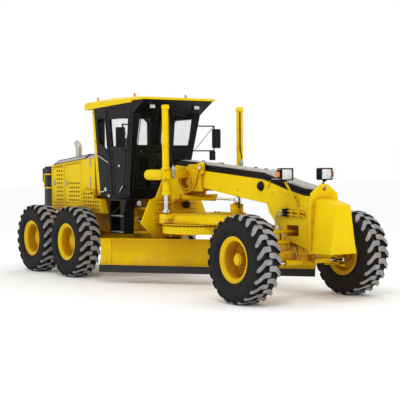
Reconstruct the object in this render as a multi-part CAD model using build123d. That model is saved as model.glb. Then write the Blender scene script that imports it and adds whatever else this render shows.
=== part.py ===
from build123d import *
import os
from math import sin, cos, radians, pi

# A 15-tonne class articulated motor grader, in millimetres.
# +X forward, +Y to the machine's left, +Z up; the ground is Z = 0 and the
# origin is the middle of the overall box, on the ground.

# ---------------------------------------------------------------- driving dimensions
LENGTH = 8900
FRONT_AXLE_X = 3420
MID_WHEEL_X = -2030
TANDEM_PITCH = 1538
REAR_WHEEL_X = MID_WHEEL_X - TANDEM_PITCH
TANDEM_X = MID_WHEEL_X - TANDEM_PITCH / 2
NOSE_X = LENGTH / 2
TAIL_X = -LENGTH / 2
HITCH_X = -630
CIRCLE_X = 820
WHEEL_Y = 1077.5              # half the track
TYRE_R = 675
TYRE_W = 445
LUG_DEPTH = 35
BEAD_R = 330
RIM_FLANGE_R = 356
RIM_BARREL_R = 322
TYRE_SIDES = 22                # flats round the tread, one lug on each
AXLE_Z = TYRE_R               # every wheel centre
SIDES = (("R", -1), ("L", 1))  # name, sign of Y

# running gaps
SLIDE_GAP = 0.5               # rod in its barrel, pin in its lug
FACE_GAP = 0.5                # hub face to spindle end
EYE_GAP = 0.6                 # rod eye to the cheeks beside it
DOOR_GAP = 6                  # round a door, but for its hinged edge
SEAT_GAP = 0.3                # between pieces fastened to each other

# rear frame and engine bay
GUARD_X = TAIL_X + 120        # rear face of the radiator guard
RAIL_Z = (840, 1200)
RAIL_REAR_X = GUARD_X + 180
RAIL_Y = (280, 360)           # inner and outer face of a rail
TONGUE_X = -1320              # where the rails end and the hitch tongue starts
TONGUE_Z = (850, 1340)
TONGUE_PLATE = 45
TONGUE_W = 300
HITCH_R = 115
HITCH_PIN_R = 45

HOOD_X = (-3900, -2020)
HOOD_HALF = 640
HOOD_TOP_REAR = 2150
HOOD_TOP_FRONT = 2300
HOOD_SKIN = 30
BONNET_RISE = 110             # the dark raised top over the hood
BAY_X = (-2430, -1640)        # service boxes at the hood's lower front corners
BAY_Z = (1210, 1680)
BAY_OUTER = 700
BAY_INNER = 570

# cab: four corners of its outer shell, at the floor and under the roof
ROOF_TOP = 3400
HOOK_TOP = 3460
CAB_Z = (1500, ROOF_TOP - 130)
CAB_BOTTOM = (-1960, -760, 610)   # rear X, front X, half width
CAB_TOP = (-1920, -336, 750)
CAB_WALL = 50
ROOF_X = (-2170, 60)
ROOF_HALF = 770

# front frame
BEAM_HALF = 170
NOSE_PLATE_X = 4000
SADDLE_X = 800
SADDLE_Y = 790                # lift cylinders stand this far out
BALL = (2970, 960)            # X and Z of the drawbar ball
ARM_Z = 1950

# front axle
AXLE_BEAM_Z = (600, 780)
LEAN_PIVOT = (700, 690)       # |Y| and Z of the wheel-lean hinge
LEAN_BAR_Z = 1060
KINGPIN_Y = 835
STEER_ARM = (200, 100)        # fore-aft and inboard reach of a steering arm

# blade, in its own directions: u runs along it from right to left, n out of its face
BLADE_L = 3965
BLADE_H = 610
BLADE_BOTTOM = 200
BLADE_ANGLE = 51.5
EDGE_N = 100                  # the cutting edge lies this far ahead of the circle's centre
TILT_AXIS = (-180, 380)       # n and Z

CIRCLE_R = 765
CIRCLE_IN = 640
CIRCLE_TEETH = 60
CIRCLE_Z = (930, 1100)
DRAWBAR_Z = (1105, 1265)


# ---------------------------------------------------------------- helpers
def block(x0, x1, y0, y1, z0, z1):
    """Box from its limits."""
    return Pos((x0 + x1) / 2, (y0 + y1) / 2, (z0 + z1) / 2) * Box(x1 - x0, y1 - y0, z1 - z0)


def polygon_prism(points, plane, amount):
    return extrude(plane * make_face(Polyline(*points, close=True)), amount=amount)


def side_plate(points, y0, y1):
    """Outline given as (X, Z), thick from y0 to y1."""
    return polygon_prism(points, Plane(origin=(0, y1, 0), x_dir=(1, 0, 0), z_dir=(0, -1, 0)), y1 - y0)


def cross_plate(points, x0, x1):
    """Outline given as (Y, Z), thick from x0 to x1."""
    return polygon_prism(points, Plane(origin=(x0, 0, 0), x_dir=(0, 1, 0), z_dir=(1, 0, 0)), x1 - x0)


def flat_plate(points, z0, z1):
    """Outline given as (X, Y), thick from z0 to z1."""
    return polygon_prism(points, Plane(origin=(0, 0, z0)), z1 - z0)


def bar(start, end, radius, bore=0):
    """Round bar, or tube when it has a bore, between two points."""
    start, end = Vector(*start), Vector(*end)
    run = end - start
    plane = Plane(origin=start, z_dir=run)
    solid = Solid.make_cylinder(radius, run.length, plane)
    if bore:
        solid = solid - Solid.make_cylinder(bore, run.length, plane)
    return solid


def along(start, end, distance):
    """Point that lies a distance from start towards end."""
    start, end = Vector(*start), Vector(*end)
    return tuple(start + (end - start).normalized() * distance)


def square_bar(start, end, wide, high):
    """Rectangular bar between two points, its height kept upright."""
    start, end = Vector(*start), Vector(*end)
    run = end - start
    across = Vector(0, 0, 1).cross(run)
    plane = Plane(origin=start, x_dir=across, z_dir=run)
    return extrude(plane * Rectangle(wide, high), amount=run.length)


def pipe(points, radius, bend):
    """Bent round tube through points, its corners rounded by bend."""
    path = FilletPolyline(*points, radius=bend)
    run = Vector(*points[1]) - Vector(*points[0])
    return sweep(Plane(origin=points[0], z_dir=run) * Circle(radius), path=path)


def turned(profile, x, y, z, side):
    """Profile of (outward distance, radius) turned about a wheel's own axis."""
    plane = Plane(origin=(x, y, z), x_dir=(0, side, 0), z_dir=(side, 0, 0))
    return revolve(plane * make_face(Polyline(*profile, close=True)), Axis((x, y, z), (0, 1, 0)))


def mirrored(solid):
    return mirror(solid, about=Plane.XZ)


def both(right):
    """A right-hand solid with its left-hand twin."""
    return [right, mirrored(right)]


def write(name, *solids):
    """One node: its solids fused where they meet."""
    flat = []
    for item in solids:
        flat.extend(item if isinstance(item, (list, tuple)) else [item])
    shape = flat[0]
    for item in flat[1:]:
        shape = shape + item
    shape.label = name
    export_step(shape, f"parts/{name}.step")


# ---------------------------------------------------------------- wheels
def polygon_ring(y, radius, x, z):
    """Flat-bottomed polygon whose flats lie at the radius, in the plane of a wheel."""
    corner = radius / cos(pi / TYRE_SIDES)
    face = Plane(origin=(x, y, z), x_dir=(1, 0, 0), z_dir=(0, -1, 0)) * RegularPolygon(
        corner, TYRE_SIDES, rotation=180 / TYRE_SIDES)
    return face


# outline of a lug on its flat: (share of the tyre's half width, distance round the tyre)
LUG = ((-0.08, -64), (0.46, -64), (0.86, 16), (0.86, 80), (0.46, 2), (-0.08, -2))


def lug(y, turn, hand):
    """One lug, on the flat that faces this far from the top; hand picks its half of the tread."""
    a = radians(turn)
    out = Vector(sin(a), 0, cos(a))
    plane = Plane(origin=Vector(0, y, AXLE_Z) + out * TYRE_R, x_dir=(cos(a), 0, -sin(a)), z_dir=out)
    outline = [(round_by, hand * share * TYRE_W / 2) for share, round_by in LUG]
    return extrude(plane * make_face(Polyline(*outline, close=True)), amount=-2 * LUG_DEPTH)


def tyre():
    """Right-hand tyre over the machine's origin: a carcass with lugs on alternate halves."""
    y = -WHEEL_Y
    half = TYRE_W / 2
    # (distance from the tyre's middle, radius)
    sections = ((half - 50, BEAD_R + 20), (half, 0.74 * TYRE_R), (half - 38, TYRE_R - LUG_DEPTH))
    outline = [(-d, r) for d, r in sections] + [(d, r) for d, r in reversed(sections)]
    body = loft([polygon_ring(y + d, r, 0, AXLE_Z) for d, r in outline], ruled=True)
    body = body - extrude(polygon_ring(y + TYRE_W, BEAD_R, 0, AXLE_Z), amount=2 * TYRE_W)
    step = 360 / TYRE_SIDES
    return body.fuse(*[lug(y, k * step, (-1) ** k) for k in range(TYRE_SIDES)])


def rim(x, side, disc, hub):
    """disc: distance of the disc's inner face from the tyre's middle.
    hub: list of (distance, radius) steps of the hub, outwards from the disc."""
    edge, lip, wall, plate = 195, 14, 14, 22
    inner = RIM_BARREL_R - wall
    profile = [
        (-edge, RIM_FLANGE_R), (-edge + lip, RIM_FLANGE_R), (-edge + 24, RIM_BARREL_R),
        (edge - 24, RIM_BARREL_R), (edge - lip, RIM_FLANGE_R), (edge, RIM_FLANGE_R),
        (edge, RIM_FLANGE_R - 20), (edge - 40, inner), (disc + plate, inner),
    ]
    profile += [(disc + d, r) for d, r in hub]
    profile += [(disc, 0), (disc, inner), (-edge + 40, inner), (-edge, RIM_FLANGE_R - 20)]
    return turned(profile, x, side * WHEEL_Y, AXLE_Z, side)


FRONT_DISC = -75
REAR_DISC = -35
FRONT_HUB = ((22, 150), (60, 140), (80, 105), (190, 95), (205, 80), (205, 0))
REAR_HUB = ((22, 190), (70, 180), (80, 120), (95, 110), (95, 0))
WHEELS = (("front", FRONT_AXLE_X), ("middle", MID_WHEEL_X), ("rear", REAR_WHEEL_X))


def wheels():
    right_tyre = tyre()
    tyres = {"R": right_tyre, "L": mirrored(right_tyre)}
    for place, x in WHEELS:
        for name, side in SIDES:
            write(f"tyre_{place}_{name}", Pos(x, 0, 0) * tyres[name])
            if place == "front":
                write(f"rim_{place}_{name}", rim(x, side, FRONT_DISC, FRONT_HUB))
            else:
                write(f"rim_{place}_{name}", rim(x, side, REAR_DISC, REAR_HUB))


# ---------------------------------------------------------------- rear frame
ARTIC_BASE = (-1250, 400, 1130)     # X, |Y|, Z
ARTIC_EYE = (-215, 600, 1130)
ARTIC_BARREL = (55, 640)            # radius, length
ARTIC_ROD_R = 28
EYE_R = 45
EYE_HALF = 32


def rear_frame(artic_barrels):
    z0, z1 = RAIL_Z
    y0, y1 = RAIL_Y
    rails = both(block(RAIL_REAR_X, TONGUE_X, -y1, -y0, z0, z1))
    floor_z, roof_z = TONGUE_Z
    outline = [(TONGUE_X, -y1), (HITCH_X - 190, -y1), (HITCH_X, -HITCH_R), (HITCH_X, HITCH_R),
               (HITCH_X - 190, y1), (TONGUE_X, y1)]
    plates = []
    for bottom in (floor_z, roof_z - TONGUE_PLATE):
        plate = flat_plate(outline, bottom, bottom + TONGUE_PLATE)
        hub = Pos(HITCH_X, 0, bottom + TONGUE_PLATE / 2) * Cylinder(HITCH_R, TONGUE_PLATE + 30)
        plates.append(plate + hub)
    webs = both(block(TONGUE_X, HITCH_X - 340, -TONGUE_W, -TONGUE_W + 50, floor_z, roof_z))
    bulkhead = block(TONGUE_X, TONGUE_X + 40, -y1, y1, floor_z, roof_z)
    inner = block(HITCH_X - 380, HITCH_X - 340, -TONGUE_W, TONGUE_W, floor_z, roof_z)
    pin = Pos(HITCH_X, 0, (floor_z + roof_z) / 2) * Cylinder(HITCH_PIN_R, roof_z - floor_z)
    cross = [block(x, x + 60, -y0, y0, z0 + 20, z1 - 20) for x in (RAIL_REAR_X, -2140)]
    outriggers = []
    for x in (-1840, -1480):
        outline = [(-y0, 960), (-y0, CAB_Z[0]), (-BAY_INNER, CAB_Z[0]), (-BAY_INNER, 1400), (-y1, 1150)]
        outriggers += both(cross_plate(outline, x, x + 40))
    brackets = []
    for sign in (-1, 1):
        bx, by, bz = ARTIC_BASE
        for low in (-EYE_HALF - EYE_GAP - 22, EYE_HALF + EYE_GAP):
            cheek = Pos(bx, sign * by, bz + low + 11) * Cylinder(55, 22)
            near, far = sorted((sign * (TONGUE_W - 20), sign * by))
            arm = block(bx - 55, bx + 55, near, far, bz + low, bz + low + 22)
            brackets.append(cheek + arm)
    tow = block(GUARD_X, RAIL_REAR_X, -150, 150, 880, 1160)
    tow = tow - block(GUARD_X - 1, RAIL_REAR_X - 40, -151, 151, 980, 1060)
    tow = tow - Pos(GUARD_X + 60, 0, 1000) * Cylinder(30, 400)
    write("rear_frame", rails, plates, webs, bulkhead, inner, pin, cross, outriggers, brackets, tow,
          artic_barrels)


def rear_axle():
    case_y = (690, 840)
    centre = AXLE_Z
    solids = []
    for name, side in SIDES:
        a, b = sorted((side * case_y[0], side * case_y[1]))
        long_box = block(REAR_WHEEL_X, MID_WHEEL_X, a, b, centre - 200, centre + 200)
        ends = [bar((x, a, centre), (x, b, centre), 200) for x in (REAR_WHEEL_X, MID_WHEEL_X)]
        stubs = []
        for x in (REAR_WHEEL_X, MID_WHEEL_X):
            tip = WHEEL_Y + REAR_DISC - FACE_GAP
            stubs.append(bar((x, side * 800, centre), (x, side * tip, centre), 110))
            stubs.append(bar((x, side * 830, centre), (x, side * 900, centre), 180))
        solids += [long_box, *ends, *stubs]
    housing = bar((TANDEM_X, -case_y[0] - 20, centre), (TANDEM_X, case_y[0] + 20, centre), 140)
    differential = Pos(TANDEM_X, 0, centre) * Sphere(215)
    differential = differential & block(TANDEM_X - 300, TANDEM_X + 300, -150, 150, 0, 1000)
    seats = both(block(TANDEM_X - 150, TANDEM_X + 150, -380, -260, centre + 80, RAIL_Z[0]))
    write("rear_axle", solids, housing, differential, seats)


def engine():
    x0, x1 = -3700, -2350
    mass = block(x0, x1, -RAIL_Y[0], RAIL_Y[0], 900, 1900)
    write("engine", mass)


def hood_top(x):
    rise = (HOOD_TOP_FRONT - HOOD_TOP_REAR) / (HOOD_X[1] - HOOD_X[0])
    return HOOD_TOP_REAR + (x - HOOD_X[0]) * rise


# side doors of the hood: name, rear X, front X
HOOD_DOORS = (("rear", -3850, -3365), ("front", -3310, -2585))
DOOR_BOTTOM = 1390
DOOR_DROP = 55                # from the hood's top edge to a door's


def hood_door_outline(rear, front, grow=0):
    edge = front + min(grow, SLIDE_GAP)
    return [(rear - grow, DOOR_BOTTOM - grow), (edge, DOOR_BOTTOM - grow),
            (edge, hood_top(front) - DOOR_DROP + grow), (rear - grow, hood_top(rear) - DOOR_DROP + grow)]


def hood():
    x0, x1 = HOOD_X
    half = HOOD_HALF
    outer = side_plate([(x0, BAY_Z[0]), (x1, BAY_Z[0]), (x1, hood_top(x1)), (x0, hood_top(x0))], -half, half)
    hollow = side_plate([(x0 - 1, 1200), (x1 - HOOD_SKIN, 1200), (x1 - HOOD_SKIN, hood_top(x1) - HOOD_SKIN),
                         (x0 - 1, hood_top(x0) - HOOD_SKIN)], -half + HOOD_SKIN, half - HOOD_SKIN)
    shell = outer - hollow
    for name, rear, front in HOOD_DOORS:
        shell = shell - side_plate(hood_door_outline(rear, front, DOOR_GAP), -half - 1, half + 1)
    write("hood", shell, service_boxes())


# slots of the grilles: first X, column pitch, columns, lowest Z, row pitch, rows, slot length and height
GRILLES = {
    "rear": (-3630, 95, 3, 1430, 84, 9, 58, 34),
    "front": (-3080, 95, 5, 1430, 84, 5, 58, 34),
    "bay": (-2360, 95, 7, 1262, 76, 3, 58, 34),
    "bay_top": (-2360, 95, 4, 1490, 76, 2, 58, 34),
}


def slots(grille, depth_y):
    """Cutters for the slots of one grille, as deep as the given Y limits."""
    x, pitch, columns, z, rise, rows, long, high = GRILLES[grille]
    slot = block(x - long / 2, x + long / 2, *depth_y, z, z + high)
    return [Pos(i * pitch, 0, k * rise) * slot for i in range(columns) for k in range(rows)]


def hood_doors():
    half = HOOD_HALF
    for name, rear, front in HOOD_DOORS:
        panel = side_plate(hood_door_outline(rear, front), -half, -half + HOOD_SKIN)
        panel = panel.cut(*slots(name, (-half - 1, -half + HOOD_SKIN + 1)))
        write(f"hood_door_{name}_R", panel)
        write(f"hood_door_{name}_L", mirrored(panel))


def service_boxes():
    """Boxes on the hood's lower front corners, their front ends under the cab's floor."""
    x0, x1 = BAY_X
    z0, z1 = BAY_Z
    under = CAB_Z[0] - 10
    upper = side_plate([(x0, under), (CAB_BOTTOM[0] - 12, under), (CAB_BOTTOM[0] - 12, z1 - 40), (x0, z1)],
                       -BAY_OUTER, -HOOD_HALF)
    lower = side_plate([(x0, z0), (x1 + 30, z0), (x1 - 60, under), (x0, under)], -BAY_OUTER, -HOOD_HALF)
    inner = side_plate([(HOOD_X[1], z0), (x1 + 30, z0), (x1 - 60, under), (HOOD_X[1], under)],
                       -HOOD_HALF, -BAY_INNER)
    boxes = upper + lower + inner
    for grille in ("bay", "bay_top"):
        boxes = boxes.cut(*slots(grille, (-BAY_OUTER - 1, -BAY_OUTER + 22)))
    return both(boxes)


def bonnet_section(x, low, high):
    """Outline across the bonnet at X: its sides lean in from the hood's edge."""
    points = [(-600, low), (-460, high), (460, high), (600, low)]
    plane = Plane(origin=(x, 0, 0), x_dir=(0, 1, 0), z_dir=(1, 0, 0))
    return plane * make_face(Polyline(*points, close=True))


def radiator_guard():
    x0, x1 = GUARD_X, HOOD_X[0]
    half = 600
    top = HOOD_TOP_REAR - 30
    ring = block(x0, x1, -half, half, BAY_Z[0], top)
    ring = ring - block(x0 - 1, x1 - 60, -half + 90, half - 90, 1300, top - 90)
    slats = [block(x0 + 60, x0 + 90, -half + 80, half - 80, z, z + 26) for z in range(1360, 2000, 80)]
    core = block(x1 - 160, x1 - 60, -half + 80, half - 80, 1290, top - 80)
    lamps = both(block(TAIL_X, x0, -590, -350, 1800, top - 20))
    sill = block(RAIL_REAR_X, x1, -half, half, RAIL_Z[1], BAY_Z[0])
    # dark bonnet: a sloping nose over the guard, and the raised top along the hood
    nose = loft([bonnet_section(x0 + 40, top - 1, top + 20),
                 bonnet_section(x1, top - 1, hood_top(x1) + BONNET_RISE)], ruled=True)
    rear, front = x1, HOOD_X[1]
    bonnet = loft([bonnet_section(x, hood_top(x) + SEAT_GAP, hood_top(x) + BONNET_RISE)
                   for x in (rear, front)], ruled=True)
    # bent grab bars on the guard's sides
    near, far, out = x1 - 40, x0 + 90, -half - 40
    loops = both(pipe([(near, -half, 1965), (near, out, 1965), (far, out, 1965),
                       (far, out, 1685), (near, out, 1685), (near, -half, 1685)], 16, 30))
    write("radiator_guard", ring, slats, core, lamps, sill, nose, bonnet, loops)


def exhaust():
    x, y = -3510, -200
    radius = 72
    base = hood_top(x + radius) + BONNET_RISE + SEAT_GAP
    stack = pipe([(x, y, base), (x, y, base + 230), (x - 110, y, base + 330)], radius, 175)
    write("exhaust", stack)


# ---------------------------------------------------------------- cab
def cab_frame_outer(shrink):
    """Solid between the cab's floor and roof outlines, taken in by shrink."""
    sections = []
    for z, (rear, front, half) in zip(CAB_Z, (CAB_BOTTOM, CAB_TOP)):
        length = front - rear - 2 * shrink
        middle = (front + rear) / 2
        sections.append(Pos(middle, 0, z) * Rectangle(length, 2 * (half - shrink)))
    return loft(sections, ruled=True)


def cab_front_x(z):
    t = (z - CAB_Z[0]) / (CAB_Z[1] - CAB_Z[0])
    return CAB_BOTTOM[1] + t * (CAB_TOP[1] - CAB_BOTTOM[1])


def cab_side_y(z):
    t = (z - CAB_Z[0]) / (CAB_Z[1] - CAB_Z[0])
    return CAB_BOTTOM[2] + t * (CAB_TOP[2] - CAB_BOTTOM[2])


CAB_FLOOR = 60
POST = 75                     # width of a corner post in the side view
DOOR_REAR_X = -1350
DOOR_Z = (1575, 3195)
WAIST_Z = (2410, 2490)        # the bar across the windscreen
LADDER_Z = 868                # underside of the ladders


def cab_door_outline(grow=0):
    low, high = DOOR_Z[0] - grow, DOOR_Z[1] + grow
    return [(DOOR_REAR_X - grow, low), (cab_front_x(low) - POST + grow, low),
            (cab_front_x(high) - POST + grow, high), (DOOR_REAR_X - grow, high)]


def cab():
    z0, z1 = CAB_Z
    shell = cab_frame_outer(0) - cab_frame_outer(CAB_WALL)
    wide = CAB_TOP[2] + 50
    wall_x = CAB_TOP[0] + CAB_WALL + 25
    rear_zone = block(-2100, wall_x, -wide, wide, z0 + CAB_FLOOR, z1)
    front_zone = side_plate([(cab_front_x(z0) - POST, z0 + CAB_FLOOR), (0, z0 + CAB_FLOOR), (0, z1),
                             (cab_front_x(z1) - POST, z1)], -wide, wide)
    floor = cab_frame_outer(0) & block(-2100, 0, -wide, wide, z0, z0 + CAB_FLOOR)
    write("cab_floor", floor)
    rear = shell & rear_zone
    outline = [(-520, 2450), (520, 2450), (520, 2980), (440, 3060), (-440, 3060), (-520, 2980)]
    rear_window = cross_plate(outline, -2100, wall_x + 1)
    write("cab_rear", rear - rear_window)
    # windscreen: a low and a high pane with a bar between them
    front_panes = [(1700, WAIST_Z[0], 500), (WAIST_Z[1], 3110, 590)]
    front = shell & front_zone
    for low, high, half in front_panes:
        front = front - block(-900, 100, -half, half, low, high)
    # header over the windscreen, leaning out to the roof's front edge, with two lamps let in
    header_z = (3060, z1 + 30 - SEAT_GAP)
    header = side_plate([(cab_front_x(header_z[0]) - 10, header_z[0]), (ROOF_X[1] - 20, header_z[1]),
                         (CAB_TOP[1] - 10, header_z[1]), (CAB_TOP[1] - 10, z1)], -wide + 60, wide - 60)
    lamps = both(block(-220, -120, -540, -420, 3150, 3250))
    write("cab_front", front + header + lamps)
    side_zone = shell & block(-2100, 0, -wide, 0, z0 + CAB_FLOOR, z1)
    side_zone = side_zone - rear_zone - front_zone
    door_hole = side_plate(cab_door_outline(DOOR_GAP), -wide, 0)
    side = side_zone - door_hole
    window = [(-1735, 2560), (DOOR_REAR_X - 75, 2370), (DOOR_REAR_X - 75, 3030), (-1690, 3030), (-1735, 2960)]
    side = side - side_plate(window, -wide, 0)
    write("cab_sides", both(side))
    panes = cab_frame_outer(20) - cab_frame_outer(28)
    glass = [panes & rear_window, both(panes & side_plate(window, -wide, 0))]
    for low, high, half in front_panes:
        glass.append(panes & front_zone & block(-900, 100, -half, half, low, high))
    write("cab_glass", glass)
    door = side_zone & side_plate(cab_door_outline(), -wide, 0)
    bottom, top = 2480, 3000
    opening = [(DOOR_REAR_X + 80, bottom), (cab_front_x(bottom) - POST - 80, bottom),
               (cab_front_x(top) - POST - 80, top), (DOOR_REAR_X + 80, top)]
    door = door - side_plate(opening, -wide, 0)
    write("cab_door_R", door)
    write("cab_door_L", mirrored(door))
    write("cab_roof", cab_roof())


def cab_roof():
    """Wedge with a deep rear edge, sitting over the top of the cab like a lid, with lifting hooks."""
    x0, x1 = ROOF_X
    low = CAB_Z[1]
    profile = [(x0, low - 60), (x0, ROOF_TOP - 80), (x0 + 60, ROOF_TOP - 45), (-1250, ROOF_TOP),
               (x1 - 260, ROOF_TOP - 35), (x1, ROOF_TOP - 60), (x1, low + 30),
               (CAB_TOP[1] - 40, low + 30), (CAB_TOP[1] - 40, low)]
    lid = side_plate(profile, -ROOF_HALF, ROOF_HALF)
    lid = lid - cab_frame_outer(-SEAT_GAP) - Pos(0, 0, SEAT_GAP) * cab_frame_outer(-SEAT_GAP)
    # the crown falls away at both sides
    for sign in (-1, 1):
        crown = cross_plate([(sign * (ROOF_HALF - 170), ROOF_TOP), (sign * (ROOF_HALF + 1), ROOF_TOP - 62),
                             (sign * (ROOF_HALF + 1), ROOF_TOP + 1)], x0 - 1, x1 + 1)
        lid = lid - crown
    hooks = []
    for x in (x0 + 170, x1 - 670):
        foot, crest = ROOF_TOP - 45, HOOK_TOP - 10
        hooks += both(pipe([(x - 22, -560, foot), (x - 22, -560, crest), (x + 22, -560, crest),
                            (x + 22, -560, foot)], 10, 16))
    return lid + hooks


def cab_interior():
    z = CAB_Z[0] + CAB_FLOOR
    x = -1450
    base = block(x - 200, x + 180, -200, 200, z, z + 330)
    cushion = block(x - 250, x + 270, -260, 260, z + 330, z + 460)
    back = side_plate([(x - 250, z + 460), (x - 120, z + 460), (x - 220, z + 1120), (x - 330, z + 1120)],
                      -250, 250)
    write("seat", base, cushion, back)
    column = side_plate([(-960, z), (-830, z), (-950, z + 690), (-1080, z + 690)], -70, 70)
    dash = side_plate([(-1080, z + 620), (-900, z + 700), (-900, z + 800), (-1100, z + 740)], -330, 330)
    wheel_plane = Plane(origin=(-1120, 0, z + 830), z_dir=(-0.35, 0, 0.94))
    wheel = wheel_plane * Torus(190, 16)
    spokes = [wheel_plane * Rot(0, 0, turn) * Pos(95, 0, 0) * Box(190, 26, 14) for turn in (0, 120, 240)]
    stem = bar((-1040, 0, z + 680), (-1120, 0, z + 830), 25)
    write("console", column, dash, wheel, spokes, stem)


def ladders():
    """Hanging steps below the cab door, on each side: behind the swing of the front frame's rear plate."""
    y0, y1 = -830, -620
    x0, x1 = -1090, -480
    top = CAB_Z[0] - SEAT_GAP
    rear_leg = side_plate([(x0, LADDER_Z), (x0 + 60, LADDER_Z), (x0, top), (x0 - 60, top)], y0, y1)
    front_leg = side_plate([(x1 - 240, LADDER_Z), (x1 - 100, LADDER_Z), (x1 - 100, 1260), (x1 - 10, top),
                            (x1 - 150, top), (x1 - 240, 1260)], y0, y1)
    steps = [block(x0 + 30, x1 - 130, y0, y1, z, z + 30) for z in (LADDER_Z + 5, LADDER_Z + 300)]
    hang = block(x0 - 90, CAB_BOTTOM[1], y0, -500, top - 30, top)
    foot = block(CAB_BOTTOM[1] - 1, x1, y0, y1, top - 30, top)
    write("ladders", both(rear_leg + front_leg + steps[0] + steps[1] + hang + foot))


def mirrors():
    """A large mirror each side on two arms from the cab's corner, and a small one under the left."""
    plate = block(-330, -290, -1130, -965, 2450, 2800)
    pole = bar((-310, -1000, 2385), (-310, -1000, 2870), 12)
    arms = bar((-310, -1006, 2860), (-430, -700, 2860), 12)
    arms = arms + bar((-310, -1006, 2395), (-540, -670, 2395), 12)
    right = (plate + pole + arms) - cab_frame_outer(-SEAT_GAP)
    small = block(-325, -295, 900, 1020, 2215, 2385) + bar((-310, 1000, 2380), (-310, 1000, 2400), 12)
    write("mirrors", right, mirrored(right) + small)


def artic_cylinders():
    """Writes the rods and returns the barrels, which stay in the rear frame's node."""
    radius, length = ARTIC_BARREL
    barrels, rods = [], {}
    for name, side in SIDES:
        base = (ARTIC_BASE[0], side * ARTIC_BASE[1], ARTIC_BASE[2])
        eye = (ARTIC_EYE[0], side * ARTIC_EYE[1], ARTIC_EYE[2])
        full = (Vector(*eye) - Vector(*base)).length
        barrel = bar(along(base, eye, 60), along(base, eye, length), radius)
        barrel = barrel - bar(along(base, eye, 110), along(base, eye, length + 1), ARTIC_ROD_R + SLIDE_GAP)
        knuckle = Pos(*base) * Cylinder(EYE_R, 2 * EYE_HALF) + bar(base, along(base, eye, 62), 30)
        barrels.append(barrel + knuckle)
        rod = bar(along(base, eye, length - 260), along(base, eye, full - 20), ARTIC_ROD_R)
        rods[name] = rod + Pos(*eye) * Cylinder(EYE_R, 2 * EYE_HALF)
    for name in rods:
        write(f"artic_rod_{name}", rods[name])
    return barrels


# ---------------------------------------------------------------- front frame
FX = FRONT_AXLE_X
# upper edge of the beam from its rear end to the nose, (X, Z), and its lower edge back again
BEAM_TOP = [(-110, 1850), (160, 2120), (1770, 1990), (FX - 690, 1905), (FX - 100, 1750), (FX + 330, 1660),
            (NOSE_PLATE_X, 1640)]
BEAM_BELLY = [(NOSE_PLATE_X, 750), (FX + 230, 850), (FX - 90, 910), (FX - 540, 1350), (FX - 590, 1480),
              (1790, 1610), (900, 1740), (200, 1500), (20, 1440), (20, 820), (-110, 820)]
LEAN_WINDOW = (FX - 90, FX + 200, 990, 1160)
COVER_RISE = 95               # height of the dark cover over the beam


def front_frame():
    beam = side_plate(BEAM_TOP + BEAM_BELLY, -BEAM_HALF, BEAM_HALF)
    x0, x1, z0, z1 = LEAN_WINDOW
    beam = beam - block(x0, x1, -BEAM_HALF - 1, BEAM_HALF + 1, z0, z1)
    # hexagonal plate across the rear end, with the cheeks for the steering-hitch cylinders
    half = [(275, 1850), (420, 1540), (550, 1490), (740, 1080), (490, 820)]
    outline = [(-y, z) for y, z in half] + [(y, z) for y, z in reversed(half)]
    hexagon = cross_plate(outline, -150, -110)
    cheeks = []
    ex, ey, ez = ARTIC_EYE
    for sign in (-1, 1):
        for low in (-EYE_HALF - EYE_GAP - 20, EYE_HALF + EYE_GAP):
            cheeks.append(Pos(ex, sign * ey, ez + low + 10) * Cylinder(EYE_R, 20))
            cheeks.append(block(ex, -150, sign * ey - EYE_R, sign * ey + EYE_R, ez + low, ez + low + 20))
    # hitch lugs, inside the tongue's plates
    lugs = []
    for z0, z1 in ((TONGUE_Z[0] + TONGUE_PLATE + 15.5, 975), (1215, TONGUE_Z[1] - TONGUE_PLATE - 15.5)):
        lug = flat_plate([(-150, -320), (-150, 320), (HITCH_X, HITCH_R), (HITCH_X, -HITCH_R)], z0, z1)
        lug = lug + Pos(HITCH_X, 0, (z0 + z1) / 2) * Cylinder(HITCH_R, z1 - z0)
        lugs.append(lug - Pos(HITCH_X, 0, (z0 + z1) / 2) * Cylinder(HITCH_PIN_R + SLIDE_GAP, 400))
    gussets = [both(flat_plate([(-110, -500), (-110, -BEAM_HALF), (10, -BEAM_HALF)], z, z + 24))
               for z in (1070, 1270, 1440)]
    # bracket that holds the drawbar ball's pin
    bx, bz = BALL
    ball_lugs = [block(bx - 52, FX + reach, -90, 90, bz + low, bz + low + 35)
                 for low, reach in ((105, -220), (-140, -120))]
    ball_lugs = [lug - Pos(bx, 0, bz) * Cylinder(30 + SLIDE_GAP, 400) for lug in ball_lugs]
    bracket = side_plate([(FX - 300, bz - 140), (FX - 120, bz - 140), (FX - 120, bz), (FX - 300, bz + 180)],
                         -110, 110)
    # bolster lugs over the front axle and their pin
    bolster = [block(x, x + 40, -130, 130, 700, 930) for x in (FX - 150, FX + 110)]
    pin = bar((FX - 158, 0, 775), (FX + 158, 0, 775), 40)
    write("front_frame", beam, hexagon, cheeks, lugs, gussets, ball_lugs, bracket, bolster, pin)


def frame_cover():
    line = [(170, 2120)] + BEAM_TOP[2:-1] + [(NOSE_PLATE_X - SEAT_GAP, BEAM_TOP[-1][1])]
    low = [(x, z + 2 * SEAT_GAP) for x, z in line]
    high = [(x, z + COVER_RISE) for x, z in line]
    high[0] = (line[0][0] + 130, line[0][1] + 85)
    write("frame_cover", side_plate(low + high[::-1], -140, 140))


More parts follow.
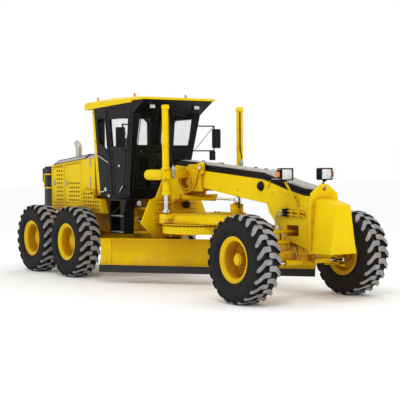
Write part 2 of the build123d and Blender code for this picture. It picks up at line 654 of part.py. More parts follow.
def weight_block():
    x = NOSE_PLATE_X + 30
    plate = cross_plate([(-280, 750), (280, 750), (280, 1480), (255, 1660), (60, 1800), (-60, 1800),
                         (-255, 1660), (-280, 1480)], NOSE_PLATE_X, x)
    plate = plate - bar((x - 31, 0, 1735), (x + 1, 0, 1735), 35)
    # (X, half width at the foot, half width at the top, Z of the top)
    ends = []
    for at, foot, head, top in ((x, 262, 185, 1580), (NOSE_X, 255, 140, 1485)):
        outline = Polyline((-foot, 760), (foot, 760), (head, top), (-head, top), close=True)
        ends.append(Plane(origin=(at, 0, 0), x_dir=(0, 1, 0), z_dir=(1, 0, 0)) * make_face(outline))
    write("weight_block", plate + loft(ends, ruled=True))


def saddle():
    """Carrier round the beam: its arms end in tubes that hold the lift-cylinder yokes."""
    x0, x1 = SADDLE_X - 200, SADDLE_X + 220
    cheek = side_plate([(x0 - 100, 1495), (x0 - 45, 1495), (x0 - 45, 1660), (x1, 1660), (x1, 2000),
                        (x1 - 100, 2130), (x0 + 60, 2130), (x0 - 100, 2050)],
                       -BEAM_HALF - 45, -BEAM_HALF)
    # round boss with the locking pin's window, and a drilled bracket on the beam's top edge
    window = (SADDLE_X - 215, 1815)
    boss = bar((window[0], -BEAM_HALF - 75, window[1]), (window[0], -BEAM_HALF - 1, window[1]), 150)
    hollow = bar((window[0], -BEAM_HALF - 76, window[1]), (window[0], -BEAM_HALF - 12, window[1]), 115)
    cheek = cheek + boss - hollow
    bracket = side_plate([(x1 - 110, 1960), (x1 + 70, 1960), (x1 + 70, 2120), (x1, 2165), (x1 - 110, 2140)],
                         -BEAM_HALF - 45, -BEAM_HALF)
    bracket = bracket - bar((x1 + 5, -BEAM_HALF - 46, 2065), (x1 + 5, -BEAM_HALF + 1, 2065), 28)
    cheeks = both(cheek + bracket)
    tubes, yokes = [], []
    for sign in (-1, 1):
        y = sign * SADDLE_Y
        tubes.append(bar((SADDLE_X - 560, y, ARM_Z), (SADDLE_X - 105, y, ARM_Z), 92))
        a, b = sorted((sign * (BEAM_HALF + 20), y))
        tubes.append(block(SADDLE_X - 420, SADDLE_X - 190, a, b, ARM_Z - 60, ARM_Z + 70))
        yoke = block(SADDLE_X - 125, SADDLE_X + 110, y - 105, y + 105, ARM_Z - 75, ARM_Z + 75)
        yokes.append(yoke - Pos(SADDLE_X, y, ARM_Z) * Cylinder(76, 400))
    bx, by, bz = SHIFT_BASE
    link_bar = block(bx - 70, bx - 30, -475, 475, bz - 65, bz + 35)
    for y in (-280, -140, 0, 140, 280, 400):
        link_bar = link_bar - bar((bx - 71, y, bz - 15), (bx - 29, y, bz - 15), 22)
    ear = block(bx - 30, bx + 47, -475, -455, bz - 38, bz + 38)
    ear = ear + block(bx + 27, bx + 47, -475, by + 3, bz - 38, bz + 38)
    ear = ear + block(bx - 31, bx - 26, by - 38, by + 38, bz - 38, bz + 35)
    write("saddle", cheeks, tubes, yokes, link_bar, ear)


LIFT_BARREL = (60, 1600, 3150)     # radius, bottom, top
LIFT_ROD_R = 32
LIFT_FOOT_Z = 1300                 # underside of a lift rod's socket
LIFT_STUD = (38, 10)               # radius of the drawbar's ball studs, their gap under the sockets


def lift_cylinders():
    radius, z0, z1 = LIFT_BARREL
    barrels, rods = [], []
    for sign in (-1, 1):
        x, y = SADDLE_X, sign * SADDLE_Y
        barrel = bar((x, y, z0), (x, y, z1), radius)
        barrel = barrel - bar((x, y, z0 - 1), (x, y, z1 - 30), LIFT_ROD_R + SLIDE_GAP)
        trunnion = bar((x, y - 69, ARM_Z), (x, y + 69, ARM_Z), 30)
        barrels.append(barrel + (trunnion - bar((x, y, z0), (x, y, z1 - 30), LIFT_ROD_R + SLIDE_GAP)))
        rod = bar((x, y, LIFT_FOOT_Z + 40), (x, y, 2450), LIFT_ROD_R)
        rods.append(rod + Pos(x, y, LIFT_FOOT_Z + 25) * Cylinder(55, 50))
    write("lift_barrels", barrels)
    write("lift_rods", rods)


SHIFT_BASE = (570, -400, 1560)
SHIFT_EYE = (900, 600, 1500)
SHIFT_BARREL = (45, 690)
SHIFT_BALL_R = 36
SHIFT_POST_GAP = 40                # from the drawbar's post to the rod's ball, which swings away from it


def shift_cylinder():
    radius, length = SHIFT_BARREL
    base, eye = SHIFT_BASE, SHIFT_EYE
    barrel = bar(along(base, eye, 60), along(base, eye, length), radius)
    barrel = barrel - bar(along(base, eye, 70), along(base, eye, length + 1), 24 + SLIDE_GAP)
    bx, by, bz = base
    hub = bar((bx - 25.4, by, bz), (bx + 26.4, by, bz), 38) + bar(base, along(base, eye, 62), 22)
    write("shift_barrel", barrel, hub)
    rod = bar(along(base, eye, length - 310), eye, 24)
    write("shift_rod", rod, Pos(*eye) * Sphere(SHIFT_BALL_R))


def headlamps():
    """A lamp box with a side flasher on a straight stalk, each side of the nose."""
    near, far = 3500, 3640                 # rear and front face of a lamp
    low, high = 1855, 2045
    box = block(near, far, -510, -280, low, high)
    box = box - block(far - 18, far + 1, -492, -298, low + 18, high - 18)
    flasher = block(near + 30, far - 30, -572, -509, low + 45, high - 45)
    flanges = [block(near, far, -600, -509, z, z + 12) for z in (low, high - 12)]
    stalk = bar((FX + 180, -BEAM_HALF + 4, 1490), (3570, -400, low + 2), 17)
    stalk = stalk - block(3000, 4000, -BEAM_HALF - SEAT_GAP, 0, 0, 3000)
    foot = block(FX + 140, FX + 220, -BEAM_HALF - 10, -BEAM_HALF - SEAT_GAP, 1450, 1530)
    lamp = box + flasher + flanges[0] + flanges[1] + foot + stalk
    write("headlamps", both(lamp))


# ---------------------------------------------------------------- front axle
def front_axle():
    z0, z1 = AXLE_BEAM_Z
    y1, _ = LEAN_PIVOT
    half = [(130, z0 - 10), (y1 - 60, 630), (y1, 640), (y1, 745), (y1 - 60, 750), (150, z1), (90, 860)]
    outline = [(-y, z) for y, z in reversed(half)] + [(y, z) for y, z in half]
    beam = cross_plate(outline, FRONT_AXLE_X - 100, FRONT_AXLE_X + 100)
    ends = both(bar((FRONT_AXLE_X - 100, -y1, LEAN_PIVOT[1]), (FRONT_AXLE_X + 100, -y1, LEAN_PIVOT[1]), 60))
    beam = beam + ends[0] + ends[1]
    beam = beam - bar((FRONT_AXLE_X - 200, 0, 775), (FRONT_AXLE_X + 200, 0, 775), 40)
    pins = both(bar((FRONT_AXLE_X - 145, -y1, LEAN_PIVOT[1]), (FRONT_AXLE_X + 145, -y1, LEAN_PIVOT[1]), 28))
    # barrels for steering, one each side, and for wheel lean
    fore, _ = STEER_ARM
    x = FRONT_AXLE_X + fore
    steer = []
    for sign in (-1, 1):
        barrel = bar((x, sign * 120, 600), (x, sign * 440, 600), 38)
        barrel = barrel - bar((x, sign * 150, 600), (x, sign * 441, 600), 20 + SLIDE_GAP)
        a, b = sorted((sign * 120, sign * 175))
        steer.append(barrel + block(FRONT_AXLE_X + 95, x - 30, a, b, 580, 680))
    lean_x = FRONT_AXLE_X
    lean = bar((lean_x, -210, 900), (lean_x, -460, 900), 36)
    lean = lean - bar((lean_x, -240, 900), (lean_x, -461, 900), 20 + SLIDE_GAP)
    post = block(lean_x - 30, lean_x + 30, -235, -200, 740, 880)
    write("front_axle", beam, pins, steer, lean, post)


def lean_brackets():
    py, pz = LEAN_PIVOT
    x = FRONT_AXLE_X
    for name, sign in SIDES:
        solids = []
        # two cheeks round the axle's end, and two that hold the lean bar's eye
        lower = [(py - 60, 640), (py - 60, 760), (py - 20, 830), (KINGPIN_Y - 45, 830),
                 (KINGPIN_Y - 45, 540), (py + 20, 540)]
        upper = [(py - 30, 820), (py - 45, 1085), (py + 40, 1085), (KINGPIN_Y - 75, 820)]
        for near, outline in ((-130, lower), (106, lower), (-62, upper), (38, upper)):
            plate = cross_plate([(sign * y, z) for y, z in outline], x + near, x + near + 24)
            if outline is lower:
                plate = plate - bar((x - 200, sign * py, pz), (x + 200, sign * py, pz), 28 + SLIDE_GAP)
            solids.append(plate)
        for z in (520, 810):
            near, far = sign * (py + 10), sign * (KINGPIN_Y + 45)
            outline = [(x - 130, near), (x + 130, near), (x + 60, far), (x - 60, far)]
            lug = flat_plate(outline, z, z + 30)
            solids.append(lug - Pos(x, sign * KINGPIN_Y, z) * Cylinder(30 + SLIDE_GAP, 200))
        write(f"lean_bracket_{name}", solids)


def lean_linkage():
    py, _ = LEAN_PIVOT
    x = FRONT_AXLE_X
    tie = bar((x, -py, LEAN_BAR_Z), (x, py, LEAN_BAR_Z), 26)
    half = 38 - EYE_GAP
    eyes = both(bar((x - half, -py, LEAN_BAR_Z), (x + half, -py, LEAN_BAR_Z), 32))
    rod = bar((x, -380, 900), (x, -py, 900), 20)
    eye = bar((x - half, -py, 900), (x + half, -py, 900), 30)
    write("lean_linkage", tie, eyes, rod + eye)


def knuckles():
    fore, inboard = STEER_ARM
    for name, sign in SIDES:
        x, y = FRONT_AXLE_X, sign * KINGPIN_Y
        pin = Pos(x, y, AXLE_Z + 10) * Cylinder(30, 340)
        barrel = Pos(x, y, AXLE_Z + 5) * Cylinder(62, 250)
        tip = sign * (WHEEL_Y + FRONT_DISC - FACE_GAP)
        spindle = bar((x, y, AXLE_Z), (x, tip, AXLE_Z), 60)
        flange = bar((x, sign * 930, AXLE_Z), (x, sign * 955, AXLE_Z), 130)
        arm_z = 486
        arms = []
        for way in (-1, 1):
            ends = [(x + way * fore, y - sign * inboard), (x, y)]
            outline = [(x, y + 45), (x, y - 45), (x + way * fore, y - sign * inboard - 35),
                       (x + way * fore, y - sign * inboard + 35)]
            arms.append(flat_plate(outline, arm_z, arm_z + 30))
            arms.append(Pos(x + way * fore, y - sign * inboard, arm_z + 15) * Cylinder(35, 30))
        write(f"knuckle_{name}", pin, barrel, spindle, flange, arms)


def steer_linkage():
    fore, inboard = STEER_ARM
    x = FRONT_AXLE_X
    end = KINGPIN_Y - inboard
    eye_z = 600
    tie = bar((x - fore, -end, eye_z), (x - fore, end, eye_z), 20)
    eyes = both(Pos(x - fore, -end, 582.5) * Cylinder(34, 70))
    rods = []
    for sign in (-1, 1):
        rod = bar((x + fore, sign * 330, eye_z), (x + fore, sign * end, eye_z), 20)
        rods.append(rod + Pos(x + fore, sign * end, 595) * Cylinder(25, 46))
    write("tie_rod", tie, eyes)
    write("steer_rods", rods)


# ---------------------------------------------------------------- drawbar and circle
def drawbar_ball():
    x, z = BALL
    ball = Pos(x, 0, z) * Sphere(70)
    pin = Pos(x, 0, z) * Cylinder(30, 290)
    write("drawbar_ball", ball, pin)


def drawbar():
    x, z = BALL
    z0, z1 = DRAWBAR_Z
    eye = bar((x, -105, z), (x, 105, z), 96)
    eye = eye - Pos(x, 0, z) * Sphere(70 + SLIDE_GAP) - Pos(x, 0, z) * Cylinder(62, 300)
    # (X, middle Z, width, height) of the neck, from the ball to the A-frame's apex
    necks = ((x - 90, z, 200, 150), (2250, 1130, 260, 150), (1800, (z0 + z1) / 2, 620, z1 - z0))
    neck = loft([Plane(origin=(at, 0, middle), x_dir=(0, 1, 0), z_dir=(-1, 0, 0)) * Rectangle(wide, high)
                 for at, middle, wide, high in necks], ruled=True)
    neck = neck - bar((x, -200, z), (x, 200, z), 80)
    a_frame = flat_plate([(2000, -230), (900, -690), (420, -690), (420, 690), (900, 690), (2000, 230)], z0, z1)
    opening = flat_plate([(1700, -140), (980, -480), (980, 480), (1700, 140)], z0 - 1, z1 + 1)
    opening = opening + flat_plate([(880, -540), (560, -540), (560, 540), (880, 540)], z0 - 1, z1 + 1)
    plate = a_frame - opening
    ears, studs = [], []
    for sign in (-1, 1):
        a, b = sorted((sign * 660, sign * (SADDLE_Y + 60)))
        ears.append(block(SADDLE_X - 90, SADDLE_X + 90, a, b, z1 - 70, z1))
        stud_r, stud_gap = LIFT_STUD
        middle = LIFT_FOOT_Z - stud_gap - stud_r
        studs.append(Pos(SADDLE_X, sign * SADDLE_Y, middle) * Sphere(stud_r))
    sx, sy, sz = SHIFT_EYE
    post_top = sz - SHIFT_BALL_R - SHIFT_POST_GAP
    shift_post = Pos(sx, sy, (z1 + post_top) / 2) * Cylinder(30, post_top - z1)
    shift_post = shift_post + Pos(sx, sy, z1 + 30) * Cone(62, 30, 60)
    gearbox = Pos(1780, 0, z1 + 80) * Cylinder(110, 160) + Pos(1780, 0, z1 + 10) * Cylinder(150, 20)
    shoes = []
    for deg in (40, 125, 235, 320):
        reach = ((CIRCLE_IN - SLIDE_GAP) ** 2 - 60 ** 2) ** 0.5
        shoe = Rot(0, 0, deg) * block(590, reach, -60, 60, CIRCLE_Z[0] + 60, z0)
        shoes.append(Pos(CIRCLE_X, 0, 0) * shoe)
    write("drawbar", eye, neck, plate, ears, studs, shift_post, gearbox, shoes)


def blade_place(solid):
    """From blade directions (u along +X, n along -Y) to the machine's."""
    return Pos(CIRCLE_X, 0, 0) * Rot(0, 0, 90 - BLADE_ANGLE) * solid


def section(points, u0, u1):
    """Outline given as (n, Z), long from u0 to u1 along the blade."""
    return blade_place(cross_plate([(-n, z) for n, z in points], u0, u1))


ARM_U = 520                   # circle arms stand this far along the blade from its middle
TIP_BASE = (-680, 800)        # n and Z of the tilt cylinder's base
TIP_EYE = (-230, 700)


def circle():
    z0, z1 = CIRCLE_Z
    middle = Pos(CIRCLE_X, 0, 0)
    gear_low = z1 - 45
    flange = middle * Pos(0, 0, z1 - 7) * Cylinder(CIRCLE_R, 14)
    teeth = []
    root, tip = CIRCLE_R - 62, CIRCLE_R - 26
    for k in range(CIRCLE_TEETH):
        for share, radius in ((-0.28, root), (-0.10, tip), (0.10, tip), (0.28, root)):
            turn = 2 * pi * (k + share) / CIRCLE_TEETH
            teeth.append((CIRCLE_X + radius * cos(turn), radius * sin(turn)))
    gear = flat_plate(teeth, gear_low, z1 - 14)
    drum = middle * Pos(0, 0, (z0 + gear_low) / 2) * Cylinder(CIRCLE_R - 22, gear_low - z0)
    hole = middle * Pos(0, 0, (z0 + z1) / 2) * Cylinder(CIRCLE_IN, 2 * (z1 - z0))
    ring = flange + gear + drum - hole
    arms = []
    tn, tz = TILT_AXIS
    for u in (-ARM_U, ARM_U):
        outline = [(-520, z0 + 40), (-250, z0 + 40), (tn - 50, tz + 75), (tn + 50, tz + 50),
                   (tn + 55, tz - 50), (tn - 60, tz - 50), (tn - 90, tz)]
        arm = section(outline, u - 20, u + 20)
        arms.append(arm - bar(in_blade(u - 30, tn, tz), in_blade(u + 30, tn, tz), 26 + SLIDE_GAP))
    base_n, base_z = TIP_BASE
    outline = [(base_n - 60, z0 + 20), (base_n + 50, z0 + 20), (base_n + 40, base_z + 30),
               (base_n + 40, base_z - 40), (base_n - 40, base_z - 40)]
    hangers = [section(outline, a, a + 30) for a in (-67, 37)]
    base, eye = in_blade(0, *TIP_BASE), in_blade(0, *TIP_EYE)
    barrel = bar(base, along(base, eye, 275), 36)
    barrel = barrel + bar(in_blade(-36.5, *TIP_BASE), in_blade(36.5, *TIP_BASE), 34)
    barrel = barrel - bar(along(base, eye, 60), along(base, eye, 276), 20 + SLIDE_GAP)
    write("circle", ring, arms, hangers, barrel)


def in_blade(u, n, z):
    """Machine point of a place given along, out of and above the blade."""
    a = radians(90 - BLADE_ANGLE)
    return (CIRCLE_X + u * cos(a) + n * sin(a), u * sin(a) - n * cos(a), z)


RAILS = ((620, 660, -10), (360, 400, 15))     # Z limits of the blade's two rails, n of their front
SHIFT_Z = 510
SHIFT_N = -125


def blade_carrier():
    tn, tz = TILT_AXIS
    solids = []
    outline = [(tn - 50, tz - 50), (-50, 335), (-50, 700), (-110, 730), (-150, 730), (tn - 50, tz + 60)]
    for u0, u1 in ((-ARM_U + 22, -ARM_U + 58), (ARM_U - 58, ARM_U - 22)):
        plate = section(outline, u0, u1)
        for low, high, _ in RAILS:
            plate = plate - section([(-96, low - 1), (0, low - 1), (0, high + 1), (-96, high + 1)],
                                    -2000, 2000)
        solids.append(plate)
    beam = section([(-150, 690), (-110, 690), (-110, 730), (-150, 730)], -ARM_U + 25, ARM_U - 25)
    pins = [bar(in_blade(side * (ARM_U - 40), tn, tz), in_blade(side * (ARM_U + 50), tn, tz), 26)
            for side in (-1, 1)]
    barrel = bar(in_blade(-300, SHIFT_N, SHIFT_Z), in_blade(620, SHIFT_N, SHIFT_Z), 42)
    solids = [plate - bar(in_blade(-700, SHIFT_N, SHIFT_Z), in_blade(590, SHIFT_N, SHIFT_Z), 24 + SLIDE_GAP)
              for plate in solids]
    barrel = barrel - bar(in_blade(-301, SHIFT_N, SHIFT_Z), in_blade(590, SHIFT_N, SHIFT_Z), 24 + SLIDE_GAP)
    en, ez = TIP_EYE
    ears = [section([(en - 40, ez - 40), (-130, ez - 5), (-130, ez + 30), (en - 40, ez + 40)], a, a + 22)
            for a in (-46, 24)]
    body = solids + [beam, *pins, *ears]
    write("blade_carrier", body, barrel)


def tip_rod():
    base = in_blade(0, *TIP_BASE)
    eye = in_blade(0, *TIP_EYE)
    rod = bar(along(base, eye, 165), eye, 20)
    write("tip_rod", rod + bar(in_blade(-23, *TIP_EYE), in_blade(23, *TIP_EYE), 34))


def moldboard():
    top = BLADE_BOTTOM + BLADE_H
    front = [(EDGE_N - 25, BLADE_BOTTOM + 95), (-10, 540), (55, top)]
    back = [(n - 22, z) for n, z in front]
    outline = Wire([Edge.make_three_point_arc(*[(n, z) for n, z in front]),
                    Edge.make_line(front[2], back[2]),
                    Edge.make_three_point_arc(*[(n, z) for n, z in reversed(back)]),
                    Edge.make_line(back[0], front[0])])
    local = Plane(origin=(-BLADE_L / 2, 0, 0), x_dir=(0, -1, 0), z_dir=(-1, 0, 0))
    sheet = extrude(local * make_face(outline), amount=-BLADE_L)
    sheet = blade_place(sheet)
    rails = [section([(-95, low), (front, low), (front, high), (-95, high)], -1350, 1350)
             for low, high, front in RAILS]
    ears = section([(-160, 470), (-20, 470), (-20, 550), (-160, 550)], -1560, -1510)
    rod = bar(in_blade(-1540, SHIFT_N, SHIFT_Z), in_blade(150, SHIFT_N, SHIFT_Z), 24)
    edge = section([(EDGE_N, BLADE_BOTTOM), (EDGE_N - 22, BLADE_BOTTOM), (EDGE_N - 42, BLADE_BOTTOM + 130),
                    (EDGE_N - 20, BLADE_BOTTOM + 130)], -BLADE_L / 2, BLADE_L / 2)
    write("cutting_edge", edge)
    write("moldboard", sheet - edge, rails, ears, rod)


os.makedirs("parts", exist_ok=True)
wheels()
rear_frame(artic_cylinders())
rear_axle()
engine()
hood()
hood_doors()
radiator_guard()
exhaust()
cab()
cab_interior()
ladders()
mirrors()
front_frame()
frame_cover()
weight_block()
saddle()
lift_cylinders()
shift_cylinder()
headlamps()
front_axle()
lean_brackets()
lean_linkage()
knuckles()
steer_linkage()
drawbar_ball()
drawbar()
circle()
blade_carrier()
tip_rod()
moldboard()
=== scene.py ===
"""Finishes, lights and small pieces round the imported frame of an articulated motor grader."""
from math import cos, pi, radians, sin

import bmesh
import bpy
from mathutils import Matrix, Vector


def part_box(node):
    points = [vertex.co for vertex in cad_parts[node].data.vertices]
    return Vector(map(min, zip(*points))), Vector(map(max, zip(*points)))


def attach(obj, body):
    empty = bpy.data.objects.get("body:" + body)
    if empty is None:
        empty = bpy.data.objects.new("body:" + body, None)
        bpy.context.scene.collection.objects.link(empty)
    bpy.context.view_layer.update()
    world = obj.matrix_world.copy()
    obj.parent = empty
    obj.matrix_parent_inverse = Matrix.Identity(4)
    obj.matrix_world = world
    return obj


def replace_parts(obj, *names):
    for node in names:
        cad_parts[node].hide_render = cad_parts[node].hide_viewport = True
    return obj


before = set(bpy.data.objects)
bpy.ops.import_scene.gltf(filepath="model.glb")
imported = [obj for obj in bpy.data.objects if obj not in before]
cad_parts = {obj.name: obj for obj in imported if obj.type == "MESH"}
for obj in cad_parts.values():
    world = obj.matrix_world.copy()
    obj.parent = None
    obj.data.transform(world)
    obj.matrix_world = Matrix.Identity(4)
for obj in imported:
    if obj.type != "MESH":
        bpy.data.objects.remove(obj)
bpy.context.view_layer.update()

SIDES = (("R", -1), ("L", 1))
FRONT, REAR = "front_frame", "rear_frame"

# ---------------------------------------------------------------- colours
YELLOW = (0.83, 0.6, 0.0)
YELLOW_DEEP = (0.74, 0.475, 0.0)
# painted shade: the dark orange-brown laid into the yellow paint's recesses and low parts
YELLOW_PAINTED_SHADE = (0.41, 0.128, 0.004)
YELLOW_WORN = (0.45, 0.33, 0.08)
# painted shade: the dark orange-brown laid into the rim's dish
RIM_PAINTED_SHADE = (0.4, 0.14, 0.003)
GRIME = (0.16, 0.12, 0.075)
BLACK = (0.0035, 0.0033, 0.0035)
RUBBER = (0.009, 0.0082, 0.008)
RUBBER_WORN = (0.36, 0.345, 0.34)
DUST = (0.055, 0.05, 0.044)


# ---------------------------------------------------------------- finishes
def shaded(colour, share, lift=0.0):
    return tuple(c * share + lift for c in colour)


class Finish:
    """One material and the short calls that wire its nodes."""

    def __init__(self, name):
        self.material = bpy.data.materials.new(name)
        self.material.use_nodes = True
        self.tree = self.material.node_tree
        self.shader = self.tree.nodes["Principled BSDF"]
        self.place = self.node("ShaderNodeTexCoord").outputs["Object"]

    def node(self, kind, **settings):
        made = self.tree.nodes.new(kind)
        for key, value in settings.items():
            setattr(made, key, value)
        return made

    def feed(self, made, **values):
        """Sets or links a node's inputs, a blank in their names typed as an underscore."""
        for key, value in values.items():
            socket = made.inputs[key.replace("_", " ")]
            if isinstance(value, bpy.types.NodeSocket):
                self.tree.links.new(value, socket)
            else:
                socket.default_value = value
        return made

    def set(self, **values):
        self.feed(self.shader, **values)

    def noise(self, scale, detail=4.0, stretch=(1, 1, 1)):
        mapping = self.feed(self.node("ShaderNodeMapping"), Scale=stretch, Vector=self.place)
        return self.feed(self.node("ShaderNodeTexNoise"), Scale=scale, Detail=detail, Roughness=0.55,
            Vector=mapping.outputs["Vector"]).outputs["Fac"]

    def ramp(self, source, low, high, start=0.0, end=1.0):
        """Source from low..high mapped to start..end, held beyond."""
        made = self.node("ShaderNodeMapRange", clamp=True)
        return self.feed(made, From_Min=low, From_Max=high, To_Min=start, To_Max=end,
            Value=source).outputs["Result"]

    def patches(self, scale, detail, low, high, start=0.0, end=1.0, stretch=(1, 1, 1)):
        return self.ramp(self.noise(scale, detail, stretch), low, high, start, end)

    def math(self, kind, a, b):
        made = self.node("ShaderNodeMath", operation=kind)
        for socket, value in zip(made.inputs, (a, b)):
            if isinstance(value, float):
                socket.default_value = value
            else:
                self.tree.links.new(value, socket)
        return made.outputs["Value"]

    def times(self, a, b):
        return self.math("MULTIPLY", a, b)

    def mix(self, factor, a, b):
        a, b = ((*c, 1.0) if isinstance(c, tuple) else c for c in (a, b))
        made = self.node("ShaderNodeMix", data_type="RGBA")
        return self.feed(made, Factor=factor, A=a, B=b).outputs["Result"]

    def by_height(self, low, high, end):
        parts = self.feed(self.node("ShaderNodeSeparateXYZ"), Vector=self.place)
        return self.ramp(parts.outputs["Z"], low, high, 0.0, end)

    def edges(self, radius, strength=1.0):
        """Normal of a rounded edge, and how far it is turned: 0 on a flat, towards strength on a corner."""
        normal = self.feed(self.node("ShaderNodeBevel", samples=4), Radius=radius).outputs["Normal"]
        dot = self.node("ShaderNodeVectorMath", operation="DOT_PRODUCT")
        flat = self.node("ShaderNodeNewGeometry").outputs["Normal"]
        for socket, source in zip(dot.inputs, (normal, flat)):
            self.tree.links.new(source, socket)
        return normal, self.ramp(dot.outputs["Value"], 1.0, 0.7, 0.0, strength)

    def hollows(self, reach, strength, open_at, shut_at):
        """How enclosed a point is: 0 in the open, up to strength deep in a recess."""
        made = self.feed(self.node("ShaderNodeAmbientOcclusion", samples=6), Distance=reach)
        return self.ramp(made.outputs["AO"], open_at, shut_at, 0.0, strength)

    def bump(self, source, distance, strength, normal=None):
        made = self.feed(self.node("ShaderNodeBump"), Strength=strength, Distance=distance, Height=source)
        if normal is not None:
            self.feed(made, Normal=normal)
        self.set(Normal=made.outputs["Normal"])


def enamel(name, recess=YELLOW_PAINTED_SHADE, open_at=0.88, shut_at=0.34, painted_top_shade=0.0):
    """Sprayed machine enamel: slow shade changes, a fine orange-peel, rubbed edges and grime low down, with
    painted shade in recesses, over the low parts, and optionally over the upper part of a low piece."""
    f = Finish(name)
    shade = f.mix(f.times(f.patches(1.3, 3.0, 0.35, 0.7), 0.45), YELLOW, YELLOW_DEEP)
    shade = f.mix(f.patches(14.0, 6.0, 0.56, 0.74, 0.0, 0.16), shade, YELLOW_DEEP)
    # painted shade: darker orange-brown where the surface is enclosed
    shade = f.mix(f.hollows(0.55, 0.92, open_at, shut_at), shade, recess)
    normal, worn = f.edges(0.007, 0.55)
    shade = f.mix(f.times(worn, f.patches(55.0, 5.0, 0.44, 0.6)), shade, YELLOW_WORN)
    grime = f.times(f.by_height(1.5, 0.1, 0.3), f.patches(5.0, 8.0, 0.4, 0.72, stretch=(1, 1, 0.35)))
    shade = f.mix(grime, shade, GRIME)
    # painted shade: darker orange-brown towards the ground
    shade = f.mix(f.by_height(1.25, 0.15, 0.34), shade, recess)
    # painted shade over the upper part of a low piece
    if painted_top_shade:
        shade = f.mix(f.by_height(0.5, 0.8, painted_top_shade), shade, recess)
    rough = f.math("ADD", f.patches(26.0, 4.0, 0.3, 0.7, 0.4, 0.54), f.times(grime, 0.5))
    f.bump(f.noise(220.0, 2.0), 0.0006, 0.35, normal)
    f.set(Base_Color=shade, Roughness=rough, Coat_Weight=0.03, Coat_Roughness=0.14, Specular_IOR_Level=0.07)
    return f.material


def rubber(name):
    """Tyre rubber: black in the grooves, greyer and dusty where the lugs meet the ground."""
    f = Finish(name)
    lug_top = f.node("ShaderNodeAttribute", attribute_name="lug_top").outputs["Fac"]
    wear = f.times(lug_top, f.math("ADD", 0.55, f.times(f.patches(9.0, 8.0, 0.3, 0.72), 0.45)))
    dust = f.times(f.patches(26.0, 9.0, 0.52, 0.78), 0.22)
    shade = f.mix(dust, f.mix(wear, RUBBER, RUBBER_WORN), DUST)
    f.bump(f.math("ADD", f.noise(160.0, 3.0), f.times(f.noise(30.0, 5.0), 1.6)), 0.0016, 0.5)
    f.set(Base_Color=shade, Roughness=f.patches(40.0, 4.0, 0.3, 0.7, 0.62, 0.88), Specular_IOR_Level=0.2)
    return f.material


def metal(name, base, rough, dark=0.35, metallic=1.0):
    f = Finish(name)
    shade = f.mix(f.patches(60.0, 6.0, 0.3, 0.7), shaded(base, 1 - dark), base)
    f.bump(f.noise(240.0, 3.0), 0.0004, 0.3, f.edges(0.003)[0])
    f.set(Base_Color=shade, Roughness=f.patches(35.0, 5.0, 0.3, 0.7, *rough), Metallic=metallic)
    return f.material


def moulding(name, base, rough=(0.45, 0.65), grey=0.25, coat=0.0):
    """Moulded plastic or satin black enamel, with a fine pebble and grey dust."""
    f = Finish(name)
    normal, worn = f.edges(0.006, 0.35)
    shade = f.mix(f.patches(3.5, 6.0, 0.45, 0.75, 0.0, grey), base, shaded(base, 1.9, 0.004))
    shade = f.mix(worn, shade, shaded(base, 2.6, 0.02))
    f.bump(f.noise(300.0, 2.0), 0.0005, 0.4, normal)
    f.set(Base_Color=shade, Roughness=f.patches(30.0, 5.0, 0.3, 0.7, *rough), Coat_Weight=coat,
        Coat_Roughness=0.2, Specular_IOR_Level=0.1)
    return f.material


def pane(name, tint, alpha):
    f = Finish(name)
    shade = f.mix(f.patches(6.0, 3.0, 0.4, 0.7), tint, shaded(tint, 1.1))
    smear = f.patches(2.2, 5.0, 0.45, 0.8, alpha, alpha + 0.05)
    rough = f.patches(4.0, 4.0, 0.3, 0.7, 0.03, 0.09)
    f.set(Base_Color=shade, Alpha=smear, Roughness=rough, Specular_IOR_Level=0.6, IOR=1.45)
    return f.material


def lens(name, tint, ribs, glow=0.0):
    """Moulded lamp lens: ribs across it over a bright reflector."""
    f = Finish(name)
    wave = f.node("ShaderNodeTexWave", wave_type="BANDS", bands_direction="Z")
    bands = f.feed(wave, Scale=ribs, Distortion=1.5, Vector=f.place).outputs["Fac"]
    f.bump(bands, 0.002, 0.5)
    shade = f.mix(f.ramp(bands, 0.2, 0.8), shaded(tint, 0.55), tint)
    rough = f.patches(20.0, 4.0, 0.3, 0.7, 0.06, 0.16)
    f.set(Base_Color=shade, Roughness=rough, Coat_Weight=1.0, Coat_Roughness=0.04, Metallic=glow)
    return f.material


def cloth(name, base):
    f = Finish(name)
    weave = f.feed(f.node("ShaderNodeTexVoronoi"), Scale=260.0, Vector=f.place).outputs["Distance"]
    f.bump(weave, 0.001, 0.5)
    shade = f.mix(f.ramp(weave, 0.1, 0.6), shaded(base, 0.6), base)
    f.set(Base_Color=shade, Roughness=f.patches(50.0, 4.0, 0.3, 0.7, 0.75, 0.95), Sheen_Weight=0.3)
    return f.material


PAINT = enamel("machine_yellow")
# the blade's upper part gets painted shade
BLADE_PAINT = enamel("blade_yellow", painted_top_shade=0.45)
# painted shade in the rim's dish
RIM_PAINT = enamel("rim_yellow", RIM_PAINTED_SHADE, 0.9, 0.35)
BLACK_PAINT = moulding("cab_black", BLACK, (0.3, 0.46), coat=0.04)
PLASTIC = moulding("black_plastic", (0.009, 0.009, 0.0095))
HOSE = moulding("hose_rubber", (0.014, 0.014, 0.014), (0.5, 0.7))
GREY_SKIN = moulding("grey_cover", (0.4, 0.38, 0.35), (0.45, 0.7), 0.15)
DARK = moulding("dark_inside", (0.004, 0.004, 0.004), (0.7, 0.9))
TYRE = rubber("tyre_rubber")
CHROME = metal("chrome_rod", (0.78, 0.79, 0.8), (0.06, 0.16), 0.12)
STEEL = metal("bare_steel", (0.55, 0.54, 0.52), (0.26, 0.42))
EXHAUST = metal("exhaust_steel", (0.62, 0.58, 0.52), (0.3, 0.5), 0.25)
EDGE = metal("edge_steel", (0.022, 0.022, 0.023), (0.42, 0.62), metallic=0.4)
IRON = metal("engine_iron", (0.09, 0.09, 0.095), (0.5, 0.7), metallic=0.3)
